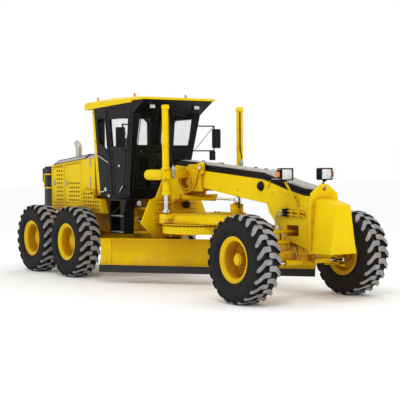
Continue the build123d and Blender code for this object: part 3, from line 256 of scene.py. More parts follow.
GLASS = pane("cab_glass", (0.02, 0.026, 0.024), 0.06)
SEAT = cloth("seat_vinyl", (0.19, 0.175, 0.17))
LENS = lens("lamp_lens", (0.93, 0.94, 0.95), 60.0, 0.35)
AMBER = lens("amber_lens", (0.95, 0.3, 0.01), 90.0)
RED = lens("red_lens", (0.6, 0.01, 0.01), 90.0)
SILVER = metal("mirror_face", (0.85, 0.87, 0.88), (0.02, 0.05), 0.03)

CARRIED = (
    (BLACK_PAINT, "cab_floor cab_front cab_sides cab_door_R cab_door_L ladders radiator_guard frame_cover"),
    (PLASTIC, "headlamps mirrors console"),
    (CHROME, "lift_rods shift_rod artic_rod_L artic_rod_R tip_rod steer_rods"),
    (GLASS, "cab_glass"), (SEAT, "seat"), (IRON, "engine"), (EXHAUST, "exhaust"), (EDGE, "cutting_edge"),
    (BLADE_PAINT, "moldboard"),
)
NODE_FINISH = {node: finish for finish, nodes in CARRIED for node in nodes.split()}
for name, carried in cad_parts.items():
    carried.data.materials.clear()
    carried.data.materials.append(TYRE if name.startswith("tyre_") else NODE_FINISH.get(name, PAINT))


# ---------------------------------------------------------------- shaping helpers
BENCH = []                     # holds the mesh in the making


def work():
    """The mesh in the making: the shapes since the last piece."""
    if not BENCH:
        BENCH.append(bmesh.new())
    return BENCH[0]


def block(corner, opposite, bevel=0.0, segments=2):
    """Box between two opposite corners, its edges rounded."""
    low, high = Vector(map(min, corner, opposite)), Vector(map(max, corner, opposite))
    bm = work()
    made = bmesh.ops.create_cube(bm, size=1.0)["verts"]
    bmesh.ops.scale(bm, vec=high - low, verts=made)
    bmesh.ops.translate(bm, vec=(low + high) / 2, verts=made)
    if bevel:
        edges = list(dict.fromkeys(e for v in made for e in v.link_edges))
        bmesh.ops.bevel(bm, geom=edges, offset=bevel, offset_type="OFFSET", segments=segments, profile=0.5,
            affect="EDGES", material=-1)


def turned_to(axis):
    return Vector((0, 0, 1)).rotation_difference(Vector(axis).normalized()).to_matrix().to_4x4()


def rod(start, end, radius, end_radius=None, sides=16):
    """Straight round bar, or a cone, between two points."""
    start, end = Vector(start), Vector(end)
    place = Matrix.Translation((start + end) / 2) @ turned_to(end - start)
    tip = radius if end_radius is None else end_radius
    bmesh.ops.create_cone(work(), cap_ends=True, segments=sides, radius1=radius, radius2=tip,
        depth=(end - start).length, matrix=place)


def trim(points, radius, sides=8, closed=True):
    """Round bars from point to point, and back to the first."""
    for start, end in zip(points, points[1:] + points[:1] * closed):
        rod(start, end, radius, sides=sides)


def bolts(places, axis, radius=0.014, height=0.011):
    """Hexagon heads, each on a washer."""
    axis = Vector(axis).normalized()
    for place in places:
        place = Vector(place)
        rod(place, place + axis * height * 0.25, radius * 1.5, sides=12)
        rod(place + axis * height * 0.2, place + axis * height, radius, radius * 0.9, sides=6)


def circle(x, y, z, radius, count, upright=False, first=0.0):
    """Places evenly round a circle, level or upright and facing sideways."""
    turns = [first + 2 * pi * k / count for k in range(count)]
    if upright:
        return [(x + radius * cos(t), y, z + radius * sin(t)) for t in turns]
    return [(x + radius * cos(t), y + radius * sin(t), z) for t in turns]


def lathe(profile, middle, axis, steps=64):
    """Closed outline of (distance along the axis, radius), spun about the axis."""
    bm = work()
    verts = [bm.verts.new((radius, 0.0, along)) for along, radius in profile]
    edges = [bm.edges.new((a, b)) for a, b in zip(verts, verts[1:] + verts[:1])]
    before = set(bm.verts) - set(verts)
    bmesh.ops.spin(bm, geom=verts + edges, cent=(0, 0, 0), axis=(0, 0, 1), angle=2 * pi, steps=steps,
        use_merge=True, use_duplicate=False)
    made = [v for v in bm.verts if v not in before]
    bmesh.ops.transform(bm, matrix=Matrix.Translation(middle) @ turned_to(axis), verts=made)


def loft(rings):
    """Closed shell through outlines with the same count of corners."""
    bm = work()
    loops = [[bm.verts.new(at) for at in ring] for ring in rings]
    loops = [[bm.edges.new(ends) for ends in zip(loop, loop[1:] + loop[:1])] for loop in loops]
    for a, b in zip(loops, loops[1:]):
        bmesh.ops.bridge_loops(bm, edges=a + b)
    for loop in (loops[0], loops[-1]):
        bmesh.ops.contextual_create(bm, geom=loop)


def along(line, section):
    """Outlines (Y, rise) repeated at each (X, Z) of a line."""
    return [[(x, y, z + up) for y, up in section] for x, z in line]


def piece(name, finish, body, smooth=30.0):
    """Turns the mesh in the making into a piece that rides on its body."""
    bm = work()
    BENCH.clear()
    bmesh.ops.recalc_face_normals(bm, faces=bm.faces)
    mesh = bpy.data.meshes.new(name)
    bm.to_mesh(mesh)
    bm.free()
    obj = bpy.data.objects.new(name, mesh)
    bpy.context.scene.collection.objects.link(obj)
    mesh.materials.append(finish)
    mesh.shade_smooth()
    mesh.set_sharp_from_angle(angle=radians(smooth))
    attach(obj, body)
    return obj


def pipe(name, points, radius, finish, body, sign=1):
    """Bent tube along a smooth line through its control points."""
    curve = bpy.data.curves.new(name + "_line", "CURVE")
    curve.dimensions = "3D"
    line = curve.splines.new("NURBS")
    line.points.add(len(points) - 1)
    for point, (x, y, z) in zip(line.points, points):
        point.co = (x, sign * y, z, 1.0)
    line.order_u = 3
    line.use_endpoint_u = True
    line.resolution_u = 8
    curve.bevel_depth = radius
    curve.bevel_resolution = 3
    curve.use_fill_caps = True
    temp = bpy.data.objects.new(name + "_line", curve)
    mesh = bpy.data.meshes.new_from_object(temp)
    bpy.data.objects.remove(temp)
    work().from_mesh(mesh)
    bpy.data.meshes.remove(mesh)
    return piece(name, finish, body, 60.0)


# ---------------------------------------------------------------- wheels
LUG_COUNT = 22                 # on each half of a tread
LUG_DEPTH = 0.036
LUG_WIDTH = 0.084

# along a lug: share of the tyre's half width, sweep round the tyre, radius of its top and foot, width
LUG_STATIONS = ((-0.1, 0.0, 1.0, 0.93, 0.85), (0.1, 0.0, 1.0, 0.93, 1.0), (0.3, 0.0, 1.0, 0.93, 1.0),
    (0.46, 0.008, 1.0, 0.93, 1.06), (0.68, 0.058, 0.998, 0.925, 1.16), (0.89, 0.106, 0.986, 0.9, 1.0),
    (0.99, 0.132, 0.94, 0.87, 0.6))

# (share of the half width, radius over the deck or the bead) from the crown to the bead
CROWN = ((0.0, 0.0), (0.45, -0.002), (0.8, -0.01), (0.9, -0.024), (0.955, -0.06), (0.985, -0.12),
    (0.985, -0.165), (0.95, -0.2))
BEAD = ((0.92, 0.07), (0.885, 0.058), (0.88, 0.045), (0.86, 0.03), (0.8, 0.012), (0.5, 0.004))

# (distance outwards from the disc, radius) of a hub; its bolt circle's radius and count; its cap's plane,
# bolt circle's radius and count; how far the disc stands from the rim's middle
HUBS = {"front": (((0.022, 0.15), (0.05, 0.148), (0.06, 0.14), (0.08, 0.105), (0.17, 0.1), (0.186, 0.095),
    (0.19, 0.08), (0.203, 0.076), (0.205, 0.06), (0.205, 0.0)), 0.195, 10, 0.06, 0.124, 8, -0.075),
    "rear": (((0.022, 0.19), (0.06, 0.188), (0.07, 0.18), (0.08, 0.12), (0.09, 0.112), (0.095, 0.1),
    (0.095, 0.0)), 0.225, 12, 0.07, 0.15, 10, -0.035)}
RIM_EDGE = 0.195               # of the rim from its middle
# (distance from the edge, radius from the flange's) of a rim's flange
FLANGE = ((-0.024, -0.032), (-0.017, -0.004), (-0.01, 0.0), (-0.003, -0.002), (0.0, -0.009),
    (-0.001, -0.02), (-0.008, -0.026), (-0.016, -0.044), (-0.028, -0.064), (-0.044, -0.076),
    (-0.06, -0.079))


def add_lug(half, radius, turn, side):
    """Bent block: straight across by the tread's middle, then swept round to a point at the shoulder."""
    bm = work()
    made = bmesh.ops.create_cube(bm, size=1.0)["verts"]
    edges = dict.fromkeys(e for v in made for e in v.link_edges)
    lengthwise = [e for e in edges if abs(e.verts[0].co.y - e.verts[1].co.y) > 0.5]
    bmesh.ops.subdivide_edges(bm, edges=lengthwise, cuts=len(LUG_STATIONS) - 2, use_grid_fill=True)
    fresh = [v for v in bm.verts if not v.tag]
    top = bm.faces.layers.float["lug_top"]
    for face in {f for v in fresh for f in v.link_faces}:
        face[top] = 1.0 if all(v.co.z > 0 for v in face.verts) else 0.0
    for v in fresh:
        across, sweep, crest, foot, width = LUG_STATIONS[round((v.co.y + 0.5) * (len(LUG_STATIONS) - 1))]
        spread = width * LUG_WIDTH * (1.0 if v.co.z > 0 else 1.25)
        angle = turn + (v.co.x * spread + sweep) / radius
        reach = radius * (crest if v.co.z > 0 else foot)
        v.co = Vector((reach * sin(angle), side * across * half, reach * cos(angle)))
        v.tag = True


def tread(place, side):
    node = f"tyre_{place}_{side}"
    low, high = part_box(node)
    middle = (low + high) / 2
    half = (high.y - low.y) / 2
    radius = min(high.z - low.z, high.x - low.x) / 2
    rim_low, rim_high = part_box(f"rim_{place}_{side}")
    bead = (rim_high.z - rim_low.z) / 2 - 0.034
    bm = work()
    bm.faces.layers.float.new("lug_top")
    profile = [(half * share, radius - LUG_DEPTH + rise) for share, rise in CROWN]
    profile += [(half * share, bead + rise) for share, rise in BEAD]
    profile += [(-d, r) for d, r in reversed(profile[1:])]
    lathe(profile, (0, 0, 0), (0, 1, 0), 88)
    for v in bm.verts:
        v.tag = True
    for k in range(LUG_COUNT):
        for half_side, shift in ((1, 0.0), (-1, 0.5)):
            add_lug(half, radius, (k + shift) * (2 * pi / LUG_COUNT), half_side)
    # moulded rings round both walls
    for sign in (-1, 1):
        for share, r in ((0.925, bead + 0.1), (0.905, bead + 0.075)):
            wall = sign * half * share
            lathe([(wall, r + 0.006), (sign * half * (share + 0.035), r), (wall, r - 0.006)], (0, 0, 0),
                (0, 1, 0), 88)
    bmesh.ops.translate(bm, vec=Vector((middle.x, middle.y, radius)), verts=bm.verts)
    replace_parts(piece(f"tread_{place}_{side}", TYRE, f"wheel_{place}_{side}", 28.0), node)


def rim(place, side, sign):
    node = f"rim_{place}_{side}"
    body = f"wheel_{place}_{side}"
    low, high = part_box(node)
    radius = (high.z - low.z) / 2
    hub, bolt_r, count, cap, cap_r, cap_count, disc = HUBS["front" if place == "front" else "rear"]
    tyre_low, tyre_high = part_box(f"tyre_{place}_{side}")
    middle = (tyre_low + tyre_high) / 2
    middle.z = (low.z + high.z) / 2
    flange = [(RIM_EDGE + d, radius + r) for d, r in FLANGE]
    profile = [(-d, r) for d, r in flange[::-1]] + flange
    profile += [(disc + d, radius - r) for d, r in ((0.044, 0.08), (0.028, 0.086), (0.022, 0.098))]
    profile += [(disc + d, r) for d, r in hub] + [(disc, 0.0), (disc, radius - 0.08)]
    axis = Vector((0, sign, 0))
    lathe(profile, (0, 0, 0), axis, 72)
    rings = ((disc + 0.022, bolt_r, count, 0.016), (disc + cap, cap_r, cap_count, 0.01))
    for reach, ring_r, n, size in rings:
        turns = [2 * pi * k / n for k in range(n)]
        bolts([(ring_r * sin(t), sign * reach, ring_r * cos(t)) for t in turns], axis, size, 0.018)
    bm = work()
    bmesh.ops.remove_doubles(bm, verts=bm.verts, dist=0.00001)
    bmesh.ops.translate(bm, vec=middle, verts=bm.verts)
    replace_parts(piece(f"rim_detail_{place}_{side}", RIM_PAINT, body), node)
    # valve stem in the dish
    foot = middle + Vector((0.0, sign * (disc + 0.05), radius - 0.075))
    rod(foot, foot + Vector((0, sign * 0.06, -0.012)), 0.006)
    rod(foot + Vector((0, sign * 0.058, -0.0115)), foot + Vector((0, sign * 0.08, -0.016)), 0.009, 0.007)
    piece(f"valve_stem_{place}_{side}", STEEL, body)


for place in ("front", "middle", "rear"):
    for side, sign in SIDES:
        tread(place, side)
        rim(place, side, sign)


# ---------------------------------------------------------------- engine end
HOOD_SIDE = 0.64              # outer face of the hood's walls
HOOD_REAR_X, HOOD_FRONT_X = -3.9, -2.02
HOOD_REAR_Z, HOOD_FRONT_Z = 2.15, 2.3
BONNET_RISE = 0.11
GUARD_REAR_X = -4.33


def hood_top(x):
    return HOOD_REAR_Z + (x - HOOD_REAR_X) * (HOOD_FRONT_Z - HOOD_REAR_Z) / (HOOD_FRONT_X - HOOD_REAR_X)


def hood_door_fittings(side, sign, door, latch_x, grille_top):
    body = f"hood_door_{door}_{side}"
    low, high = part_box(f"hood_door_{door}_R")
    y = sign * HOOD_SIDE
    block((latch_x - 0.048, y, 1.735), (latch_x + 0.048, y + sign * 0.01, 1.845), 0.006)
    block((latch_x - 0.026, y, 1.752), (latch_x + 0.026, y + sign * 0.02, 1.815), 0.005)
    rod((latch_x, y, 1.828), (latch_x, y + sign * 0.016, 1.828), 0.009, sides=12)
    piece(f"door_latch_{door}_{side}", STEEL, body)
    # folded lip round the door
    rear, front = low.x + 0.012, high.x - 0.012
    trim([(rear, y, low.z + 0.012), (front, y, low.z + 0.012), (front, y, hood_top(high.x) - 0.072),
        (rear, y, hood_top(low.x) - 0.072)], 0.0055)
    bolts([(x, y, low.z + 0.05) for x in (low.x + 0.05, high.x - 0.05)], (0, sign, 0), 0.008, 0.007)
    piece(f"door_lip_{door}_{side}", PAINT, body)
    # woven screen behind the slots
    inside = y - sign * 0.034
    step = 0.03
    across = [low.x + 0.04 + step * k for k in range(int((high.x - low.x - 0.08) / step) + 1)]
    for x in across:
        rod((x, inside, 1.415), (x, inside, min(grille_top, hood_top(x) - 0.08)), 0.003, sides=4)
    z = 1.415
    while z < grille_top:
        rod((across[0], inside, z), (across[-1], inside, z), 0.003, sides=4)
        z += step
    piece(f"grille_screen_{door}_{side}", DARK, body)


def hood_fittings(side, sign):
    """Hinge strips, drip rails, fasteners and the service box's trim on one side."""
    y = sign * HOOD_SIDE
    out = (0, sign, 0)
    for low_z, high_z in ((2.12, 2.28), (1.72, 1.91)):
        x = -2.2
        block((x - 0.03, y, low_z), (x + 0.03, y + sign * 0.006, high_z), 0.002)
        rod((x, y + sign * 0.008, low_z), (x, y + sign * 0.008, high_z), 0.011)
        rows = (low_z + 0.03, high_z - 0.03)
        bolts([(x + dx, y + sign * 0.006, z) for dx in (-0.02, 0.02) for z in rows], out, 0.006, 0.006)
        piece(f"panel_hinge_{side}_{round(low_z * 100)}", STEEL, REAR)
    for a, b in ((-3.86, -3.36), (-3.3, -2.55)):
        rod((a, y + sign * 0.004, hood_top(a) - 0.03), (b, y + sign * 0.004, hood_top(b) - 0.03), 0.008,
            sides=8)
        rod((a + 0.02, y + sign * 0.002, 1.345), (b - 0.02, y + sign * 0.002, 1.345), 0.007, sides=8)
    bolts([(x, y, 1.28) for x in (-3.84, -3.45, -3.05, -2.65)], out, 0.01, 0.008)
    piece(f"hood_trim_{side}", PAINT, REAR)
    face = sign * 0.7
    trim([(x, face, z) for x, z in ((-2.415, 1.225), (-1.625, 1.225), (-1.7, 1.475), (-1.985, 1.475),
        (-1.985, 1.625), (-2.415, 1.665))], 0.006)
    bolts([(x, face, z) for x, z in ((-2.38, 1.25), (-1.68, 1.25), (-1.75, 1.44), (-2.38, 1.62))], out,
        0.007, 0.006)
    piece(f"service_box_lip_{side}", PAINT, REAR)
    rod((-2.045, face, 1.6), (-2.045, face + sign * 0.014, 1.6), 0.018, sides=20)
    piece(f"service_box_knob_{side}", PLASTIC, REAR)


for side, sign in SIDES:
    hood_door_fittings(side, sign, "rear", -3.765, 2.13)
    hood_door_fittings(side, sign, "front", -3.225, 1.86)
    hood_fittings(side, sign)


def bonnet():
    """Grey lid in three parts, the middle one outlined by a black seal, with louvres across the front one."""
    def over_hood(x, drop=0.0):
        return x, hood_top(x) + 0.002, hood_top(x) + BONNET_RISE + drop

    nose = ((GUARD_REAR_X + 0.045, 2.122, 2.136), (-4.1, 2.122, 2.19), (HOOD_REAR_X - 0.012, 2.126, 2.25))
    lid = (over_hood(HOOD_REAR_X + 0.006), over_hood(-2.52))
    step = (over_hood(-2.5, -0.03), over_hood(-2.03, -0.03))
    for name, stations in (("nose", nose), ("lid", lid), ("step", step)):
        loft([[(x, -0.6, low), (x, -0.46, high - 0.004), (x, 0.46, high - 0.004), (x, 0.6, low)]
            for x, low, high in stations])
        bm = work()
        bmesh.ops.recalc_face_normals(bm, faces=bm.faces)
        bmesh.ops.bevel(bm, geom=list(bm.edges), offset=0.012, offset_type="OFFSET", segments=2,
            profile=0.5, affect="EDGES", material=-1)
        piece(f"bonnet_{name}", GREY_SKIN, REAR)
    a, b = HOOD_REAR_X + 0.02, -2.53
    seal = BONNET_RISE - 0.012
    for sign in (-1, 1):
        low_a, low_b = ((x, sign * 0.592, hood_top(x) + 0.01) for x in (a, b))
        top_a, top_b = ((x, sign * 0.462, hood_top(x) + seal) for x in (a, b))
        for start, end in ((low_a, low_b), (top_a, top_b), (low_a, top_a), (low_b, top_b)):
            rod(start, end, 0.013, sides=10)
        rod((HOOD_REAR_X, sign * 0.598, 2.128), (GUARD_REAR_X + 0.05, sign * 0.598, 2.12), 0.01, sides=8)
    for x in (a, b):
        rod((x, -0.462, hood_top(x) + seal), (x, 0.462, hood_top(x) + seal), 0.012, sides=10)
    piece("bonnet_seal", HOSE, REAR, 60.0)
    for k in range(7):
        x = -2.44 + 0.06 * k
        z = hood_top(x) + BONNET_RISE - 0.036
        block((x - 0.018, -0.4, z - 0.004), (x + 0.018, 0.4, z + 0.006), 0.003, 1)
    piece("bonnet_louvres", PLASTIC, REAR)


def radiator_end():
    """Black guard with its slatted opening, lamp boxes, lamps and the yellow grab bars."""
    x0, x1 = GUARD_REAR_X, HOOD_REAR_X
    for low, high in (((x0, -0.6, 1.21), (x1, -0.51, 2.118)), ((x0, 0.51, 1.21), (x1, 0.6, 2.118)),
            ((x0, -0.512, 2.03), (x1, 0.512, 2.118)), ((x0, -0.512, 1.21), (x1, 0.512, 1.3)),
            ((-4.15, -0.6, 1.2), (x1, 0.6, 1.212)), ((x1 - 0.16, -0.52, 1.29), (x1 - 0.06, 0.52, 2.04))):
        block(low, high, 0.008)
    for sign in (-1, 1):
        block((-4.446, sign * 0.59, 1.802), (x0 + 0.004, sign * 0.35, 2.096), 0.014)
    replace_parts(piece("guard_frame", BLACK_PAINT, REAR), "radiator_guard")
    z = 1.345
    while z < 2.0:
        block((x0 + 0.05, -0.512, z), (x0 + 0.11, 0.512, z + 0.01), 0.003, 1)
        z += 0.052
    for y in (-0.17, 0.17):
        block((x0 + 0.04, y - 0.01, 1.298), (x0 + 0.06, y + 0.01, 2.034), 0.003, 1)
    piece("guard_slats", BLACK_PAINT, REAR)
    for k in range(41):
        y = -0.5 + 0.024 * k
        rod((x1 - 0.166, y, 1.3), (x1 - 0.166, y, 2.03), 0.004, sides=4)
    piece("radiator_core", IRON, REAR)
    for side, sign in SIDES:
        y = sign * 0.47
        for name, low_z, high_z, finish in (("stop", 1.96, 2.07, RED), ("work", 1.825, 1.94, LENS)):
            block((-4.45, y - 0.095, low_z), (-4.44, y + 0.095, high_z), 0.004)
            piece(f"rear_lamp_{name}_{side}", finish, REAR)
        wall, out, near, corner = 0.6, 0.64, 0.636, 0.03
        start, end, high, low = x1 - 0.04, x0 + 0.09, 1.965, 1.685
        pipe(f"grab_bar_{side}", [(start, wall, high), (start, near, high), (start - corner, out, high),
            (end + corner, out, high), (end, out, high), (end, out, high - corner),
            (end, out, low + corner), (end, out, low), (end + corner, out, low), (start - corner, out, low),
            (start, near, low), (start, wall, low)], 0.016, PAINT, REAR, sign)


def exhaust_stack():
    low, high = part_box("exhaust")
    radius = (high.y - low.y) / 2
    y = (low.y + high.y) / 2
    x = high.x - radius
    stack = pipe("exhaust_pipe", [(x, y, low.z + 0.004), (x, y, low.z + 0.1), (x, y, low.z + 0.2),
        (x - 0.012, y, low.z + 0.275), (low.x + 0.075, y, high.z - 0.058)], radius - 0.004, EXHAUST, REAR)
    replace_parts(stack, "exhaust")
    for rise, top in ((0.002, 0.024), (0.165, 0.18)):
        rod((x, y, low.z + rise), (x, y, low.z + top), radius - 0.001, sides=32)
    piece("exhaust_collar", STEEL, REAR, 60.0)


bonnet()
radiator_end()
exhaust_stack()


# ---------------------------------------------------------------- cab
CAB_FLOOR_Z, CAB_TOP_Z = 1.5, 3.27
DOOR_REAR_X = -1.35
POST = 0.075                   # width of the front posts along X


def cab_share(z):
    return (z - CAB_FLOOR_Z) / (CAB_TOP_Z - CAB_FLOOR_Z)


def cab_front_x(z):
    return -0.76 + cab_share(z) * 0.424


def on_side(sign, x, z, proud=0.0):
    """Point on the cab's side wall."""
    return Vector((x, sign * (0.61 + cab_share(z) * 0.14 + proud), z))


def on_front(y, z, proud=0.0):
    return Vector((cab_front_x(z) + proud, y, z))


def side_line(sign, points, radius, proud=0.0, closed=True, sides=8):
    """Round trim along points (X, Z) of the cab's side wall."""
    trim([on_side(sign, x, z, proud) for x, z in points], radius, sides, closed)


def leaf(rear_gap, front_gap, low, high, spill=0.0):
    """Corners (X, Z) of an outline on the door, at gaps from its rear edge and its front post."""
    rear = DOOR_REAR_X + rear_gap
    front_low, front_high = (cab_front_x(z) - POST - front_gap for z in (low, high))
    return [(rear, low - spill), (front_low, low - spill), (front_high, high + spill), (rear, high + spill)]


def cab_door_trim(side, sign):
    """Seal round the leaf, the window's gasket and glass, the pressed panel, handle, lock and hinges."""
    body = f"cab_door_{side}"
    side_line(sign, leaf(0.012, 0.014, 1.59, 3.18), 0.007)
    side_line(sign, leaf(0.08, 0.08, 2.48, 3.0), 0.01)
    piece(f"door_seal_{side}", HOSE, body, 60.0)
    side_line(sign, leaf(0.1, 0.12, 1.68, 2.4), 0.006, 0.001)
    piece(f"door_pressing_{side}", BLACK_PAINT, body, 60.0)
    start, end = on_side(sign, -0.915, 1.73, 0.004), on_side(sign, -1.02, 1.64, 0.004)
    for at in (start, end):
        rod(at, at + Vector((0, sign * 0.03, 0)), 0.01, sides=12)
    rod(start + Vector((0.018, sign * 0.03, 0.014)), end + Vector((-0.018, sign * 0.03, -0.014)), 0.013,
        0.011)
    rod(on_side(sign, -1.02, 2.12), on_side(sign, -1.02, 2.12, 0.016), 0.026, 0.022, sides=24)
    piece(f"door_handle_{side}", CHROME, body, 50.0)
    for z in (1.62, 2.1, 2.62, 3.1):
        at = on_side(sign, DOOR_REAR_X + 0.004, z, 0.004)
        rod(at - Vector((0, 0, 0.035)), at + Vector((0, 0, 0.035)), 0.011, sides=12)
    piece(f"door_hinges_{side}", PLASTIC, REAR, 50.0)
    corners = [on_side(sign, x, z, -0.022) for x, z in leaf(0.078, 0.078, 2.48, 3.0, 0.002)]
    bm = work()
    face = bm.faces.new([bm.verts.new(c) for c in corners])
    grown = bmesh.ops.extrude_face_region(bm, geom=[face])["geom"]
    verts = [g for g in grown if isinstance(g, bmesh.types.BMVert)]
    bmesh.ops.translate(bm, vec=(0, sign * 0.006, 0), verts=verts)
    piece(f"door_glass_{side}", GLASS, body)


def cab_side_trim(side, sign):
    """Fixed panel behind the door: window gasket, slanted rail, corner bracket, reflectors and fasteners."""
    side_line(sign, [(-1.735, 2.56), (-1.425, 2.37), (-1.425, 3.03), (-1.69, 3.03), (-1.735, 2.96)], 0.01)
    side_line(sign, [(-1.9, 1.53), (-0.8, 1.53)], 0.012, closed=False)
    side_line(sign, [(-1.372, 1.58), (-1.372, 3.19)], 0.006, closed=False)
    piece(f"side_window_seal_{side}", HOSE, REAR, 60.0)
    ends = [(-1.87, 2.35), (-1.43, 2.19)]
    side_line(sign, ends, 0.013, 0.012, False, 12)
    for x, z in ends:
        rod(on_side(sign, x, z), on_side(sign, x, z, 0.014), 0.012, sides=12)
    piece(f"side_rail_{side}", STEEL, REAR, 60.0)
    side_line(sign, [(-1.85, 1.618), (-1.66, 1.632)], 0.014, 0.01, False, 12)
    side_line(sign, [(-1.655, 1.64), (-1.61, 1.705), (-1.585, 1.64)], 0.016, 0.01, False, 12)
    piece(f"side_bracket_{side}", CHROME, REAR, 60.0)
    at = on_side(sign, -1.52, 1.552)
    for name, length, finish in (("", -0.045, RED), ("_white", 0.045, LENS)):
        block((at.x, at.y, at.z - 0.026), (at.x + length, at.y + sign * 0.012, at.z + 0.026), 0.004)
        piece(f"side_reflector{name}_{side}", finish, REAR)
    bolts([on_side(sign, x, z) for x, z in ((-1.88, 1.6), (-1.88, 2.05), (-1.88, 2.6), (-1.88, 3.15),
        (-1.44, 1.62), (-1.44, 1.95), (-1.52, 1.85), (-0.7, 1.62))], (0, sign, 0), 0.009, 0.007)
    piece(f"side_bolts_{side}", BLACK_PAINT, REAR)


def cab_front_trim():
    for low, high, half in ((1.7, 2.41, 0.5), (2.49, 3.11, 0.59)):
        trim([on_front(y, z, 0.001) for y, z in ((-half, low), (half, low), (half, high), (-half, high))],
            0.009)
    for y in (-0.56, 0.56):
        rod(on_front(y, 1.58), on_front(y, 3.05), 0.008, sides=8)
    piece("windscreen_seal", HOSE, REAR, 60.0)
    for name, foot, tip in (("high", (0.3, 3.12), (0.02, 2.66)), ("low", (-0.25, 2.45), (0.05, 1.9))):
        start, end = on_front(*foot, 0.02), on_front(*tip, 0.022)
        rod(on_front(*foot), start + Vector((0.012, 0, 0)), 0.016)
        rod(start, end, 0.007, 0.005, sides=8)
        strip = (end - start).normalized() * 0.2
        behind = Vector((0.01, 0, 0))
        rod(end - strip - behind, end + strip - behind, 0.006, sides=6)
        piece(f"wiper_{name}", PLASTIC, REAR, 60.0)
    for z, half in ((1.69, -0.5), (2.42, 0.5)):
        rod(on_front(half, z, -0.075), on_front(-half, z, -0.075), 0.014, sides=8)
    piece("windscreen_ledge", PLASTIC, REAR, 60.0)
    for side, sign in SIDES:
        block((-0.124, sign * 0.425, 3.155), (-0.116, sign * 0.535, 3.245), 0.004)
        piece(f"roof_lamp_{side}", LENS, REAR)
    # work lamps under the floor
    for side, sign in SIDES:
        middle, aim = (-0.74, sign * 0.45, 1.425), (1, 0, -0.1)
        lathe(((0.0, 0.0), (0.0, 0.03), (0.03, 0.062), (0.07, 0.07), (0.078, 0.066), (0.078, 0.058),
            (0.066, 0.052), (0.066, 0.0)), middle, aim, 32)
        rod((-0.72, sign * 0.45, 1.47), (-0.75, sign * 0.45, 1.498), 0.012)
        piece(f"floor_lamp_{side}", PLASTIC, REAR)
        lathe(((0.066, 0.0), (0.066, 0.054), (0.074, 0.05), (0.08, 0.03), (0.082, 0.0)), middle, aim, 32)
        piece(f"floor_lamp_lens_{side}", LENS, REAR)


def seat():
    """Base with its suspension boot, and three padded parts with sewn channels."""
    low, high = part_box("seat")
    block((low.x + 0.13, -0.19, low.z), (high.x - 0.1, 0.19, low.z + 0.05), 0.01)
    for k in range(6):
        shrink = 0.012 * (k % 2)
        z = low.z + 0.045 + 0.045 * k
        y = 0.17 - shrink
        block((low.x + 0.15 + shrink, -y, z), (high.x - 0.12 - shrink, y, z + 0.045), 0.012)
    block((low.x + 0.1, -0.22, low.z + 0.31), (high.x - 0.04, 0.22, low.z + 0.345), 0.01)
    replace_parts(piece("seat_base", PLASTIC, REAR), "seat")
    pads = (("cushion", (low.x + 0.085, -0.25, low.z + 0.34), (high.x - 0.006, 0.25, low.z + 0.455), 0.0),
        ("back", (low.x + 0.06, -0.235, low.z + 0.45), (low.x + 0.2, 0.235, low.z + 0.96), -0.085),
        ("headrest", (low.x + 0.01, -0.13, low.z + 0.95), (low.x + 0.125, 0.13, low.z + 1.11), -0.01))
    for name, corner, opposite, lean in pads:
        bm = work()
        bmesh.ops.create_cube(bm, size=1.0)
        bmesh.ops.subdivide_edges(bm, edges=bm.edges[:], cuts=7, use_grid_fill=True)
        size = Vector(opposite) - Vector(corner)
        centre = (Vector(opposite) + Vector(corner)) / 2
        thin = min(range(3), key=lambda k: size[k])
        wide = [k for k in range(3) if k != thin]
        for v in bm.verts:
            flat = [v.co[k] * 2 for k in wide]
            crown = (1 - flat[0] ** 4) * (1 - flat[1] ** 4)
            v.co[thin] *= 0.55 + 0.45 * crown ** 0.5
            for k in wide:
                v.co[k] *= 1.0 - 0.05 * (1 - abs(v.co[thin]) * 2)
            v.co[thin] *= 0.9 + 0.1 * abs(sin(flat[-1] * pi * 1.5)) ** 0.35
        for v in bm.verts:
            v.co = Vector(v.co[k] * size[k] + centre[k] for k in range(3))
            v.co.x += lean * (v.co.z - corner[2]) / size.z
        bmesh.ops.smooth_vert(bm, verts=bm.verts, factor=0.4, use_axis_x=True, use_axis_y=True,
            use_axis_z=True)
        piece(f"seat_{name}", SEAT, REAR, 80.0)


def cab_controls():
    """Levers on the steering column, armrests and a monitor."""
    for y in (-0.3, -0.24, -0.18, 0.18, 0.24, 0.3):
        rod((-1.02, y, 2.28), (-1.1, y * 1.05, 2.44), 0.006, sides=8)
        bmesh.ops.create_uvsphere(work(), u_segments=12, v_segments=8, radius=0.018,
            matrix=Matrix.Translation((-1.102, y * 1.05, 2.448)))
    block((-0.985, -0.1, 2.33), (-0.95, 0.1, 2.45), 0.008)
    for sign in (-1, 1):
        block((-1.64, sign * 0.275, 2.13), (-1.33, sign * 0.335, 2.18), 0.018)
        rod((-1.61, sign * 0.29, 1.93), (-1.61, sign * 0.3, 2.14), 0.014)
    piece("cab_levers", PLASTIC, REAR, 50.0)


for side, sign in SIDES:
    cab_door_trim(side, sign)
    cab_side_trim(side, sign)
cab_front_trim()
seat()
cab_controls()


# ---------------------------------------------------------------- front frame
BEAM_SIDE = 0.17
# (X, Z) along the beam's cover: its rear end, then what the skirt and the skin's flanges follow too
COVER_REAR = ((0.174, 2.126), (0.3, 2.205))
COVER_LINE = ((1.77, 2.085), (2.73, 2.0), (3.32, 1.845), (3.75, 1.755), (3.985, 1.737))
SKIRT_LINE = ((1.095, 2.14),) + COVER_LINE


